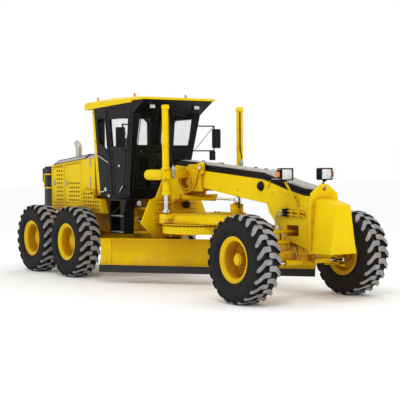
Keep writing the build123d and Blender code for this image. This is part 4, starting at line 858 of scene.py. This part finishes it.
def frame_top():
    """Pale skin over the cover with its flanges, the dark skirt where the cover meets the beam, and clips."""
    loft(along(COVER_REAR + COVER_LINE, ((-0.136, 0.0), (0.136, 0.0), (0.136, 0.005), (-0.136, 0.005))))
    for a, b in ((-0.144, -0.1405), (0.1405, 0.144)):
        loft(along(SKIRT_LINE, ((a, -0.024), (b, -0.024), (b, 0.005), (a, 0.005))))
    piece("frame_cover_skin", GREY_SKIN, FRONT)
    loft(along([(x, z - 0.095) for x, z in SKIRT_LINE], ((-0.173, -0.034), (-0.173, 0.004), (0.173, 0.004),
        (0.173, -0.034), (0.1702, -0.034), (0.1702, 0.0005), (-0.1702, 0.0005), (-0.1702, -0.034))))
    piece("frame_cover_skirt", BLACK_PAINT, FRONT)
    for x, z in ((0.62, 2.181), (1.2, 2.134), (2.16, 2.052), (2.44, 2.027), (3.02, 1.925)):
        block((x - 0.035, 0.104, z), (x + 0.035, 0.13, z + 0.018), 0.004)
    piece("frame_cover_clips", PLASTIC, FRONT)


def headlamp(side, sign):
    """Housing with its lens, reflector cells, flasher between two flanges, and the bent stalk to the beam."""
    def box(x0, x1, y0, y1, z0, z1, bevel):
        block((x0, sign * y0, z0), (x1, sign * y1, z1), bevel)

    box(3.5, 3.618, 0.28, 0.51, 1.855, 2.045, 0.02)
    for y0, y1, z0, z1 in ((0.28, 0.51, 1.855, 1.87), (0.28, 0.51, 2.03, 2.045),
            (0.28, 0.295, 1.855, 2.045), (0.495, 0.51, 1.855, 2.045)):
        box(3.6, 3.64, y0, y1, z0, z1, 0.006)
    box(3.53, 3.59, 0.5, 0.518, 1.87, 2.03, 0.004)
    rod((3.57, sign * 0.4, 1.835), (3.57, sign * 0.4, 1.858), 0.034, sides=24)
    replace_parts(piece(f"headlamp_housing_{side}", PLASTIC, FRONT), "headlamps")
    box(3.616, 3.628, 0.296, 0.494, 1.871, 2.029, 0.005)
    for y in (0.345, 0.445):
        lathe(((0.0, 0.0), (0.0, 0.04), (0.006, 0.04), (0.009, 0.02), (0.01, 0.0)), (3.626, sign * y, 1.95),
            (1, 0, 0), 28)
    piece(f"headlamp_lens_{side}", LENS, FRONT, 40.0)
    box(3.545, 3.612, 0.516, 0.57, 1.905, 1.995, 0.014)
    piece(f"flasher_{side}", AMBER, FRONT, 60.0)
    for z0, z1 in ((1.872, 1.882), (2.018, 2.028)):
        box(3.5, 3.63, 0.51, 0.598, z0, z1, 0.002)
    piece(f"flasher_guard_{side}", STEEL, FRONT)
    rod((3.6, sign * 0.178, 1.49), (3.57, sign * 0.4, 1.85), 0.017)
    box(3.56, 3.64, 0.17, 0.182, 1.45, 1.53, 0.004)
    bolts([(x, sign * 0.182, z) for x in (3.575, 3.625) for z in (1.465, 1.515)], (0, sign, 0), 0.008,
        0.007)
    piece(f"headlamp_stalk_{side}", PAINT, FRONT, 40.0)
    pipe(f"headlamp_lead_{side}", [(3.545, 0.44, 1.86), (3.52, 0.38, 1.8), (3.56, 0.29, 1.69),
        (3.56, 0.172, 1.58)], 0.006, HOSE, FRONT, sign)


def beam_fittings():
    dome = ((0.0, 0.0), (0.0, 0.078), (0.008, 0.078), (0.012, 0.07), (0.03, 0.066), (0.05, 0.052),
        (0.062, 0.03), (0.066, 0.0))
    for sign in (-1, 1):
        lathe(dome, (2.68, sign * BEAM_SIDE, 1.76), (0, sign, 0), 40)
    piece("beam_port_caps", PLASTIC, FRONT, 50.0)
    pipe("beam_wire", [(2.92, -0.172, 1.85), (2.925, -0.19, 1.8), (2.88, -0.19, 1.75),
        (2.83, -0.172, 1.73)], 0.005, PAINT, FRONT)
    # weld beads along the beam's doubled plates
    for sign in (-1, 1):
        y = sign * (BEAM_SIDE + 0.001)
        for x0, z0, x1, z1 in ((3.14, 1.7, 3.36, 1.61), (3.52, 1.545, 3.84, 1.415),
                (2.84, 1.5, 3.32, 0.93)):
            rod((x0, y, z0), (x1, y, z1), 0.004, sides=8)
        for x, z in ((2.96, 1.66), (2.04, 1.69), (1.52, 1.7)):
            rod((x, sign * BEAM_SIDE, z), (x, sign * (BEAM_SIDE + 0.012), z), 0.014)
        rod((1.93, y, 1.605), (2.06, y, 1.59), 0.012)
    piece("beam_welds", PAINT, FRONT, 60.0)
    # hanging link ahead of the circle drive
    rod((1.98, -0.1, 1.595), (1.98, -0.1, 1.4), 0.013)
    rod((1.98, -0.1, 1.408), (1.98, -0.1, 1.39), 0.02)
    block((1.94, -0.125, 1.565), (2.02, -0.075, 1.592), 0.004)
    piece("hanging_link", PLASTIC, FRONT)
    # valve at the front of the beam, and its fixed pipes
    for side, sign in SIDES:
        block((3.3, sign * 0.168, 1.29), (3.385, sign * 0.24, 1.415), 0.006)
        for z in (1.325, 1.38):
            rod((3.285, sign * 0.205, z), (3.4, sign * 0.205, z), 0.018, sides=6)
        piece(f"beam_valve_{side}", PLASTIC, FRONT)
        for name, z in (("high", 1.38), ("low", 1.325)):
            pipe(f"beam_pipe_{name}_{side}", [(3.39, 0.205, z), (3.45, 0.205, z + 0.004),
                (3.6, 0.2, z - 0.01), (3.7, 0.198, z - 0.004), (3.79, 0.192, z - 0.024),
                (3.8, 0.168, z - 0.03)], 0.01, PAINT, FRONT, sign)
            pipe(f"axle_pipe_{name}_{side}", [(3.29, 0.205, z), (3.22, 0.215, z + 0.01),
                (3.13, 0.225, z - 0.06), (3.11, 0.23, z - 0.2), (3.2, 0.22, 1.05), (3.3, 0.172, 0.98)],
                0.01, STEEL, FRONT, sign)
        for x in (3.5, 3.68):
            block((x - 0.012, sign * 0.168, 1.295), (x + 0.012, sign * 0.22, 1.395), 0.003)
        piece(f"beam_pipe_clamps_{side}", PAINT, FRONT)
    # bolts down both edges of the nose plate, and its pin
    bolts([(4.03, sign * y, z) for sign in (-1, 1) for y, z in ((0.236, 1.47), (0.246, 1.24), (0.258, 1.01),
        (0.267, 0.85))], (1, 0, 0), 0.013, 0.012)
    piece("nose_bolts", PAINT, FRONT, 40.0)
    rod((3.99, 0.0, 1.735), (4.034, 0.0, 1.735), 0.018, sides=24)
    bolts([(4.034, 0.0, 1.735)], (1, 0, 0), 0.013, 0.012)
    piece("nose_pin", STEEL, FRONT, 40.0)


def hitch_valve():
    block((0.021, 0.06, 1.35), (0.09, 0.18, 1.448), 0.01)
    for y in (0.085, 0.12, 0.155):
        rod((0.055, y, 1.338), (0.055, y, 1.352), 0.014, sides=6)
    piece("hitch_valve", PLASTIC, FRONT)


def saddle_fittings(side, sign):
    # port block on the yoke, with its unions, and the tube up the lift barrel
    y = sign * 0.725
    low, high = (1.89, 2.08) if sign < 0 else (2.04, 2.19)
    block((0.911, y - 0.03, low), (0.958, y + 0.03, high), 0.008)
    for z in (low + 0.035, high - 0.045):
        rod((0.94, y, z), (0.985, y, z), 0.019, sides=6)
        rod((0.98, y, z), (0.995, y, z), 0.013)
    rod((0.935, y, high - 0.002), (0.935, y, high + 0.03), 0.018, sides=6)
    piece(f"port_block_{side}", STEEL, FRONT, 40.0)
    pipe(f"lift_tube_{side}", [(0.935, 0.725, high + 0.02), (0.935, 0.728, high + 0.11),
        (0.88, 0.74, high + 0.17), (0.868, 0.745, high + 0.3), (0.868, 0.745, 3.02), (0.852, 0.76, 3.07)],
        0.011, HOSE, FRONT, sign)
    # clips, glands and cap of the barrel
    y = sign * 0.79
    clip = ((-0.012, 0.0595), (-0.012, 0.066), (0.012, 0.066), (0.012, 0.0595))
    gland = ((0.0, 0.059), (0.0, 0.07), (0.01, 0.074), (0.055, 0.074), (0.062, 0.068), (0.062, 0.059))
    collar = ((0.0, 0.059), (0.0, 0.082), (0.03, 0.082), (0.042, 0.07), (0.06, 0.064), (0.06, 0.059))
    top = ((0.0, 0.059), (0.0, 0.067), (0.06, 0.067), (0.074, 0.06), (0.08, 0.03), (0.08, 0.0), (0.07, 0.0),
        (0.07, 0.059))
    for profile, z, steps in ((clip, 2.42, 32), (clip, 2.76, 32), (gland, 1.602, 40), (collar, 2.026, 40),
            (top, 3.074, 40)):
        lathe(profile, (0.8, y, z), (0, 0, 1), steps)
    # caps over the yoke's trunnions, and bolts through its split
    for way in (-1, 1):
        at = y + way * 0.105
        lathe(((0.0, 0.0), (0.0, 0.06), (0.012, 0.06), (0.018, 0.052), (0.02, 0.0)), (0.8, at, 1.95),
            (0, way, 0), 32)
        bolts(circle(0.8, at + way * 0.018, 1.95, 0.042, 4, True, pi / 4), (0, way, 0), 0.007, 0.008)
    bolts([(0.91, y + dy, z) for dy in (-0.075, 0.085) for z in (1.9, 2.0)], (1, 0, 0), 0.012, 0.012)
    bolts([(0.7, y + dy, 2.025) for dy in (-0.07, 0.07)], (0, 0, 1), 0.012, 0.012)
    # end cap of the arm tube
    lathe(((0.0, 0.0), (0.0, 0.09), (-0.014, 0.09), (-0.03, 0.076), (-0.036, 0.04), (-0.038, 0.0)),
        (0.24, y, 1.95), (1, 0, 0), 40)
    piece(f"lift_fittings_{side}", PAINT, FRONT, 40.0)
    # nested pipes round the saddle's boss
    if sign < 0:
        pipe("saddle_pipe_outer", [(0.37, 0.225, 2.08), (0.385, 0.262, 1.96), (0.42, 0.264, 1.78),
            (0.56, 0.264, 1.655), (0.7, 0.264, 1.63), (0.88, 0.264, 1.74), (0.95, 0.262, 1.92),
            (0.975, 0.225, 2.07)], 0.013, PAINT, FRONT, sign)
        pipe("saddle_pipe_inner", [(0.45, 0.24, 1.9), (0.462, 0.262, 1.83), (0.5, 0.264, 1.73),
            (0.64, 0.264, 1.68), (0.78, 0.264, 1.72), (0.88, 0.262, 1.86), (0.9, 0.225, 1.97)], 0.013,
            PAINT, FRONT, sign)
    bolts(circle(0.585, sign * 0.245, 1.815, 0.132, 10, True), (0, sign, 0), 0.008, 0.008)
    bolts([(x, sign * 0.215, z) for x, z in ((0.92, 1.7), (0.98, 1.7), (0.86, 2.06), (0.5, 2.08),
        (0.76, 2.08))], (0, sign, 0), 0.011, 0.01)
    rod((0.585, sign * 0.165, 1.815), (0.585, sign * 0.205, 1.815), 0.06, sides=32)
    piece(f"saddle_bolts_{side}", PAINT, FRONT, 40.0)
    # pin through the drilled bracket
    rod((1.025, sign * 0.175, 2.065), (1.025, sign * 0.24, 2.065), 0.024, sides=24)
    rod((1.025, sign * 0.236, 2.065), (1.025, sign * 0.25, 2.065), 0.034, 0.03, sides=24)
    piece(f"saddle_pin_{side}", CHROME, FRONT, 40.0)


frame_top()
beam_fittings()
hitch_valve()
for side, sign in SIDES:
    headlamp(side, sign)
    saddle_fittings(side, sign)


# ---------------------------------------------------------------- front axle
AXLE_X = 3.42


def axle_fittings(side, sign):
    lathe(((0.0, 0.0375), (0.0, 0.045), (0.036, 0.045), (0.042, 0.038), (0.042, 0.024), (0.0, 0.024)),
        (AXLE_X + 0.2, sign * 0.401, 0.6), (0, sign, 0), 32)
    for way in (-1, 1):
        middle = (AXLE_X + way * 0.145, sign * 0.7, 0.69)
        lathe(((0.0, 0.0), (0.0, 0.04), (0.012, 0.04), (0.018, 0.032), (0.02, 0.0)), middle, (way, 0, 0),
            28)
    bolts([(3.521, sign * y, z) for y, z in ((0.2, 0.72), (0.34, 0.71), (0.48, 0.7))], (1, 0, 0), 0.012,
        0.012)
    piece(f"axle_fittings_{side}", PAINT, FRONT, 40.0)
    pipe(f"steer_pipe_{side}", [(3.62, 0.2, 0.64), (3.62, 0.2, 0.69), (3.58, 0.19, 0.76),
        (3.525, 0.175, 0.82)], 0.008, STEEL, FRONT, sign)
    # kingpin cap, its bolts and grease nipple
    y = sign * 0.835
    lathe(((0.0, 0.0), (0.0, 0.056), (0.014, 0.056), (0.024, 0.044), (0.028, 0.0)), (AXLE_X, y, 0.808),
        (0, 0, 1), 36)
    bolts(circle(AXLE_X, y, 0.82, 0.047, 6), (0, 0, 1), 0.007, 0.008)
    rod((AXLE_X, y, 0.853), (AXLE_X, y, 0.866), 0.008, 0.005, sides=8)
    piece(f"kingpin_cap_{side}", PAINT, f"knuckle_{side}", 40.0)


for side, sign in SIDES:
    axle_fittings(side, sign)


# ---------------------------------------------------------------- drawbar, circle and blade
CIRCLE_X = 0.82
DRIVE_X = 1.78
BLADE_TURN = radians(38.5)
# (height, distance ahead of the blade's middle plane) of its face at the edge, the belly and the lip
BLADE_FACE = ((0.295, 0.075), (0.54, -0.01), (0.81, 0.055))


def in_blade(u, n, z):
    """Point u along the blade, n ahead of it, at height z, with the machine at rest."""
    return Vector((CIRCLE_X + u * cos(BLADE_TURN) + n * sin(BLADE_TURN),
        u * sin(BLADE_TURN) - n * cos(BLADE_TURN), z))


def blade_face(z):
    (z0, n0), (z1, n1), (z2, n2) = BLADE_FACE
    return (n0 * (z - z1) * (z - z2) / ((z0 - z1) * (z0 - z2))
        + n1 * (z - z0) * (z - z2) / ((z1 - z0) * (z1 - z2))
        + n2 * (z - z0) * (z - z1) / ((z2 - z0) * (z2 - z1)))


def drawbar_fittings():
    top = 1.265
    for turn in map(radians, (40, 125, 235, 320)):
        bolts([(CIRCLE_X + out * cos(turn) - across * sin(turn), out * sin(turn) + across * cos(turn), top)
            for out in (0.62, 0.66) for across in (-0.035, 0.035)], (0, 0, 1), 0.014, 0.016)
    for sign in (-1, 1):
        bolts([(x, sign * 0.7, top) for x in (0.73, 0.87)], (0, 0, 1), 0.013, 0.014)
        bolts([(x, sign * 0.691, 1.19) for x in (0.46, 0.61)], (0, sign, 0), 0.012, 0.012)
    # circle drive: flanged lid, motor and its bolts
    lathe(((0.0, 0.0), (0.0, 0.118), (0.014, 0.118), (0.02, 0.108), (0.024, 0.07), (0.05, 0.06),
        (0.056, 0.052), (0.056, 0.0)), (DRIVE_X, 0.0, 1.425), (0, 0, 1), 40)
    bolts(circle(DRIVE_X, 0.0, 1.44, 0.096, 8), (0, 0, 1), 0.009, 0.012)
    bolts(circle(DRIVE_X, 0.0, 1.285, 0.134, 12), (0, 0, 1), 0.009, 0.012)
    # edge bars along the plate's slanted sides
    for sign in (-1, 1):
        for z, radius in ((1.112, 0.007), (1.258, 0.006)):
            rod((2.0, sign * 0.232, z), (0.9, sign * 0.692, z), radius, sides=8)
    piece("drawbar_fittings", PAINT, "drawbar", 40.0)
    for name, y in (("inner", -0.045), ("outer", 0.045)):
        line = ((1.88, 1, 1.29), (1.94, 1, 1.28), (2.06, 1.4, 1.272), (2.3, 1.2, 1.236), (2.6, 1, 1.15),
            (2.78, 1, 1.1))
        pipe(f"drawbar_pipe_{name}", [(x, y * spread, z) for x, spread, z in line], 0.011, PAINT, "drawbar")
    for x, z in ((2.12, 1.262), (2.42, 1.19), (2.7, 1.106)):
        block((x - 0.018, -0.085, z - 0.03), (x + 0.018, 0.085, z + 0.022), 0.004)
    rod((DRIVE_X, 0.0, 1.48), (DRIVE_X, 0.0, 1.5), 0.02, sides=6)
    piece("drawbar_clamps", STEEL, "drawbar")
    # pipe and ring of the centre-shift barrel
    start, end = Vector((0.57, -0.4, 1.56)), Vector((0.9, 0.6, 1.5))
    ahead = (end - start).normalized()
    over = Vector((0.03, 0, 0.054))
    stations = ((0.3, 0.6), (0.32, 1), (0.36, 1), (0.43, 1), (0.5, 1), (0.52, 0.6))
    line = [start + ahead * share + over * rise for share, rise in stations]
    pipe("shift_barrel_pipe", line, 0.01, PAINT, "shift_barrel")
    lathe(((0.0, 0.0445), (0.0, 0.048), (0.022, 0.048), (0.022, 0.0445)), start + ahead * 0.666, ahead, 32)
    piece("shift_barrel_ring", PAINT, "shift_barrel")


def blade_fittings():
    """Bolts of the cutting edge, wear plates up the blade's ends, and the rolled lips along it."""
    out = Vector((sin(BLADE_TURN), -cos(BLADE_TURN), 0))
    for k in range(27):
        for z in (0.235, 0.29):
            at = in_blade(-1.9 + 3.8 * k / 26, 0.099 - 0.02 * (z - 0.2) / 0.13, z)
            rod(at, at + out * 0.005, 0.014, 0.011, sides=12)
    piece("edge_bolts", EDGE, "blade", 40.0)
    for u0, u1 in ((-1.968, -1.77), (1.77, 1.968)):
        section = ((u0, 0.001), (u1, 0.001), (u1, 0.007), (u0, 0.007))
        heights = [0.336 + 0.0464 * k for k in range(11)]
        loft([[in_blade(u, blade_face(z) + up, z) for u, up in section] for z in heights])
    for u in (-1.86, 1.86):
        for z, n in ((0.375, 0.044), (0.76, 0.04)):
            at = in_blade(u, n, z)
            rod(at, at + out * 0.012, 0.013, 0.011, sides=12)
    piece("end_plates", PAINT, "blade", 40.0)
    for u, n, z, radius in ((1.976, 0.044, 0.8, 0.01), (1.97, 0.072, 0.334, 0.009)):
        rod(in_blade(-u, n, z), in_blade(u, n, z), radius, sides=12)
    piece("blade_lip", PAINT, "blade", 60.0)


drawbar_fittings()
blade_fittings()


# ---------------------------------------------------------------- steps, mirrors and the cab's lining
def steps_and_mirrors(side, sign):
    inner, outer = sign * 0.628, sign * 0.822
    for z in (0.903, 1.198):
        block((-1.055, inner, z), (-0.615, outer, z + 0.004))
        for k in range(9):
            x = -1.035 + 0.05 * k
            block((x, inner, z + 0.003), (x + 0.01, outer, z + 0.01))
        block((-1.056, outer, z - 0.008), (-0.612, sign * 0.834, z + 0.006), 0.003)
    piece(f"step_treads_{side}", STEEL, REAR)
    for y in (sign * 0.64, sign * 0.818):
        rod((-1.06, y, 1.2), (-0.56, y, 1.47), 0.011, sides=12)
    piece(f"step_braces_{side}", BLACK_PAINT, REAR, 50.0)
    block((-0.3335, sign * 0.975, 2.462), (-0.33, sign * 1.12, 2.788), 0.001)
    if sign > 0:
        block((-0.3285, 0.908, 2.224), (-0.3245, 1.012, 2.376), 0.001)
    piece(f"mirror_face_{side}", SILVER, REAR)
    block((-0.294, sign * 0.96, 2.444), (-0.28, sign * 1.135, 2.806), 0.01)
    for z in (2.46, 2.79):
        rod((-0.31, sign * 1.0, z - 0.02), (-0.31, sign * 1.0, z + 0.02), 0.02)
    rod((-0.31, sign * 1.0, 2.86), (-0.52, sign * 0.69, 2.4), 0.006, sides=8)
    piece(f"mirror_back_{side}", PLASTIC, REAR, 40.0)


def frame_brackets(side, sign):
    """Slanted strut from the hood's front corner to the rear frame, and the box on its rail."""
    inner, outer = sign * 0.352, sign * 0.41
    low, high = sorted((inner, outer))
    section = ((low, 0.0), (high, 0.0), (high, 0.05), (low, 0.05))
    loft([[(x + up * 0.6, y, z + up) for y, up in section] for x, z in ((-2.26, 1.42), (-1.84, 1.08))])
    thicker = 0.02 if sign > 0 else 0.0
    block((-2.02, inner, 0.9), (-1.78, outer + thicker, 1.14), 0.006)
    bolts([(x, outer, z) for x in (-1.99, -1.81) for z in (0.93, 1.11)], (0, sign, 0), 0.01, 0.01)
    piece(f"frame_bracket_{side}", PAINT, REAR, 40.0)


def cab_lining():
    block((-1.844, -0.59, 1.562), (-1.834, 0.59, 2.446))
    block((-1.844, -0.64, 3.064), (-1.834, 0.64, 3.262))
    for sign in (-1, 1):
        block((-1.844, sign * 0.524, 2.44), (-1.834, sign * 0.672, 3.2))
    block((-1.84, -0.64, 3.256), (-0.44, 0.64, 3.267))
    block((-1.82, -0.55, 1.561), (-0.8, 0.55, 1.57))
    # reveal of the rear window
    outline = ((-0.52, 2.45), (0.52, 2.45), (0.52, 2.98), (0.44, 3.06), (-0.44, 3.06), (-0.52, 2.98))
    middle, inset = 2.755, 0.982
    for (ya, za), (yb, zb) in zip(outline, outline[1:] + outline[:1]):
        corners = [(y * k, middle + (z - middle) * k) for y, z, k in ((ya, za, 1), (yb, zb, 1),
            (yb, zb, inset), (ya, za, inset))]
        loft([[(x, y, z) for y, z in corners] for x in (-1.95, -1.836)])
    piece("cab_lining", DARK, REAR)
    for y0, y1 in ((-0.56, -0.25), (0.25, 0.56)):
        block((-1.7, y0, 1.57), (-1.12, y1, 1.96), 0.02)
    block((-1.18, -0.56, 1.57), (-0.86, -0.18, 2.28), 0.03)
    piece("cab_consoles", DARK, REAR)


for side, sign in SIDES:
    steps_and_mirrors(side, sign)
    frame_brackets(side, sign)
cab_lining()


# ---------------------------------------------------------------- camera, floor and light
WORLD_LIGHT = 1.0
# name, place, size, power
LAMPS = (("key", (9, -7, 12), 4.0, 420), ("rim", (-9, 6, 9), 6.0, 140), ("front", (14, 3, 6), 5.0, 80))


def camera():
    """Low view from the machine's front right quarter."""
    data = bpy.data.cameras.new("view")
    data.sensor_width = 36.0
    data.lens = 96.33
    data.clip_end = 200.0
    yaw, pitch, roll = radians(145.871), radians(-1.515), radians(-0.419)
    ahead = Vector((cos(pitch) * cos(yaw), cos(pitch) * sin(yaw), sin(pitch)))
    right = ahead.cross(Vector((0, 0, 1))).normalized()
    up = right.cross(ahead)
    right, up = cos(roll) * right + sin(roll) * up, cos(roll) * up - sin(roll) * right
    turn = Matrix((right, up, -ahead)).transposed().to_4x4()
    made = bpy.data.objects.new("view", data)
    made.matrix_world = Matrix.Translation((16.366, -10.635, 1.999)) @ turn
    bpy.context.scene.collection.objects.link(made)
    bpy.context.scene.camera = made


def floor_and_light():
    bm = bmesh.new()
    bmesh.ops.create_grid(bm, x_segments=1, y_segments=1, size=120.0)
    mesh = bpy.data.meshes.new("floor")
    bm.to_mesh(mesh)
    bm.free()
    floor = bpy.data.objects.new("floor", mesh)
    bpy.context.scene.collection.objects.link(floor)
    f = Finish("pale_floor")
    f.set(Base_Color=f.mix(f.patches(0.4, 3.0, 0.3, 0.7), (0.95, 0.95, 0.95), (0.97, 0.97, 0.97)),
        Roughness=0.9, Specular_IOR_Level=0.1)
    mesh.materials.append(f.material)
    world = bpy.data.worlds.new("studio")
    world.use_nodes = True
    world.node_tree.nodes["Background"].inputs["Color"].default_value = (1.0, 1.0, 1.0, 1.0)
    world.node_tree.nodes["Background"].inputs["Strength"].default_value = WORLD_LIGHT
    bpy.context.scene.world = world
    for name, place, size, power in LAMPS:
        data = bpy.data.lights.new(name, "AREA")
        data.size = size
        data.energy = power
        lamp = bpy.data.objects.new(name, data)
        aim = (Vector(place) - Vector((0, 0, 1))).to_track_quat("Z", "Y").to_matrix().to_4x4()
        lamp.matrix_world = Matrix.Translation(place) @ aim
        bpy.context.scene.collection.objects.link(lamp)
    bpy.context.scene.view_settings.view_transform = "Standard"


camera()
floor_and_light()
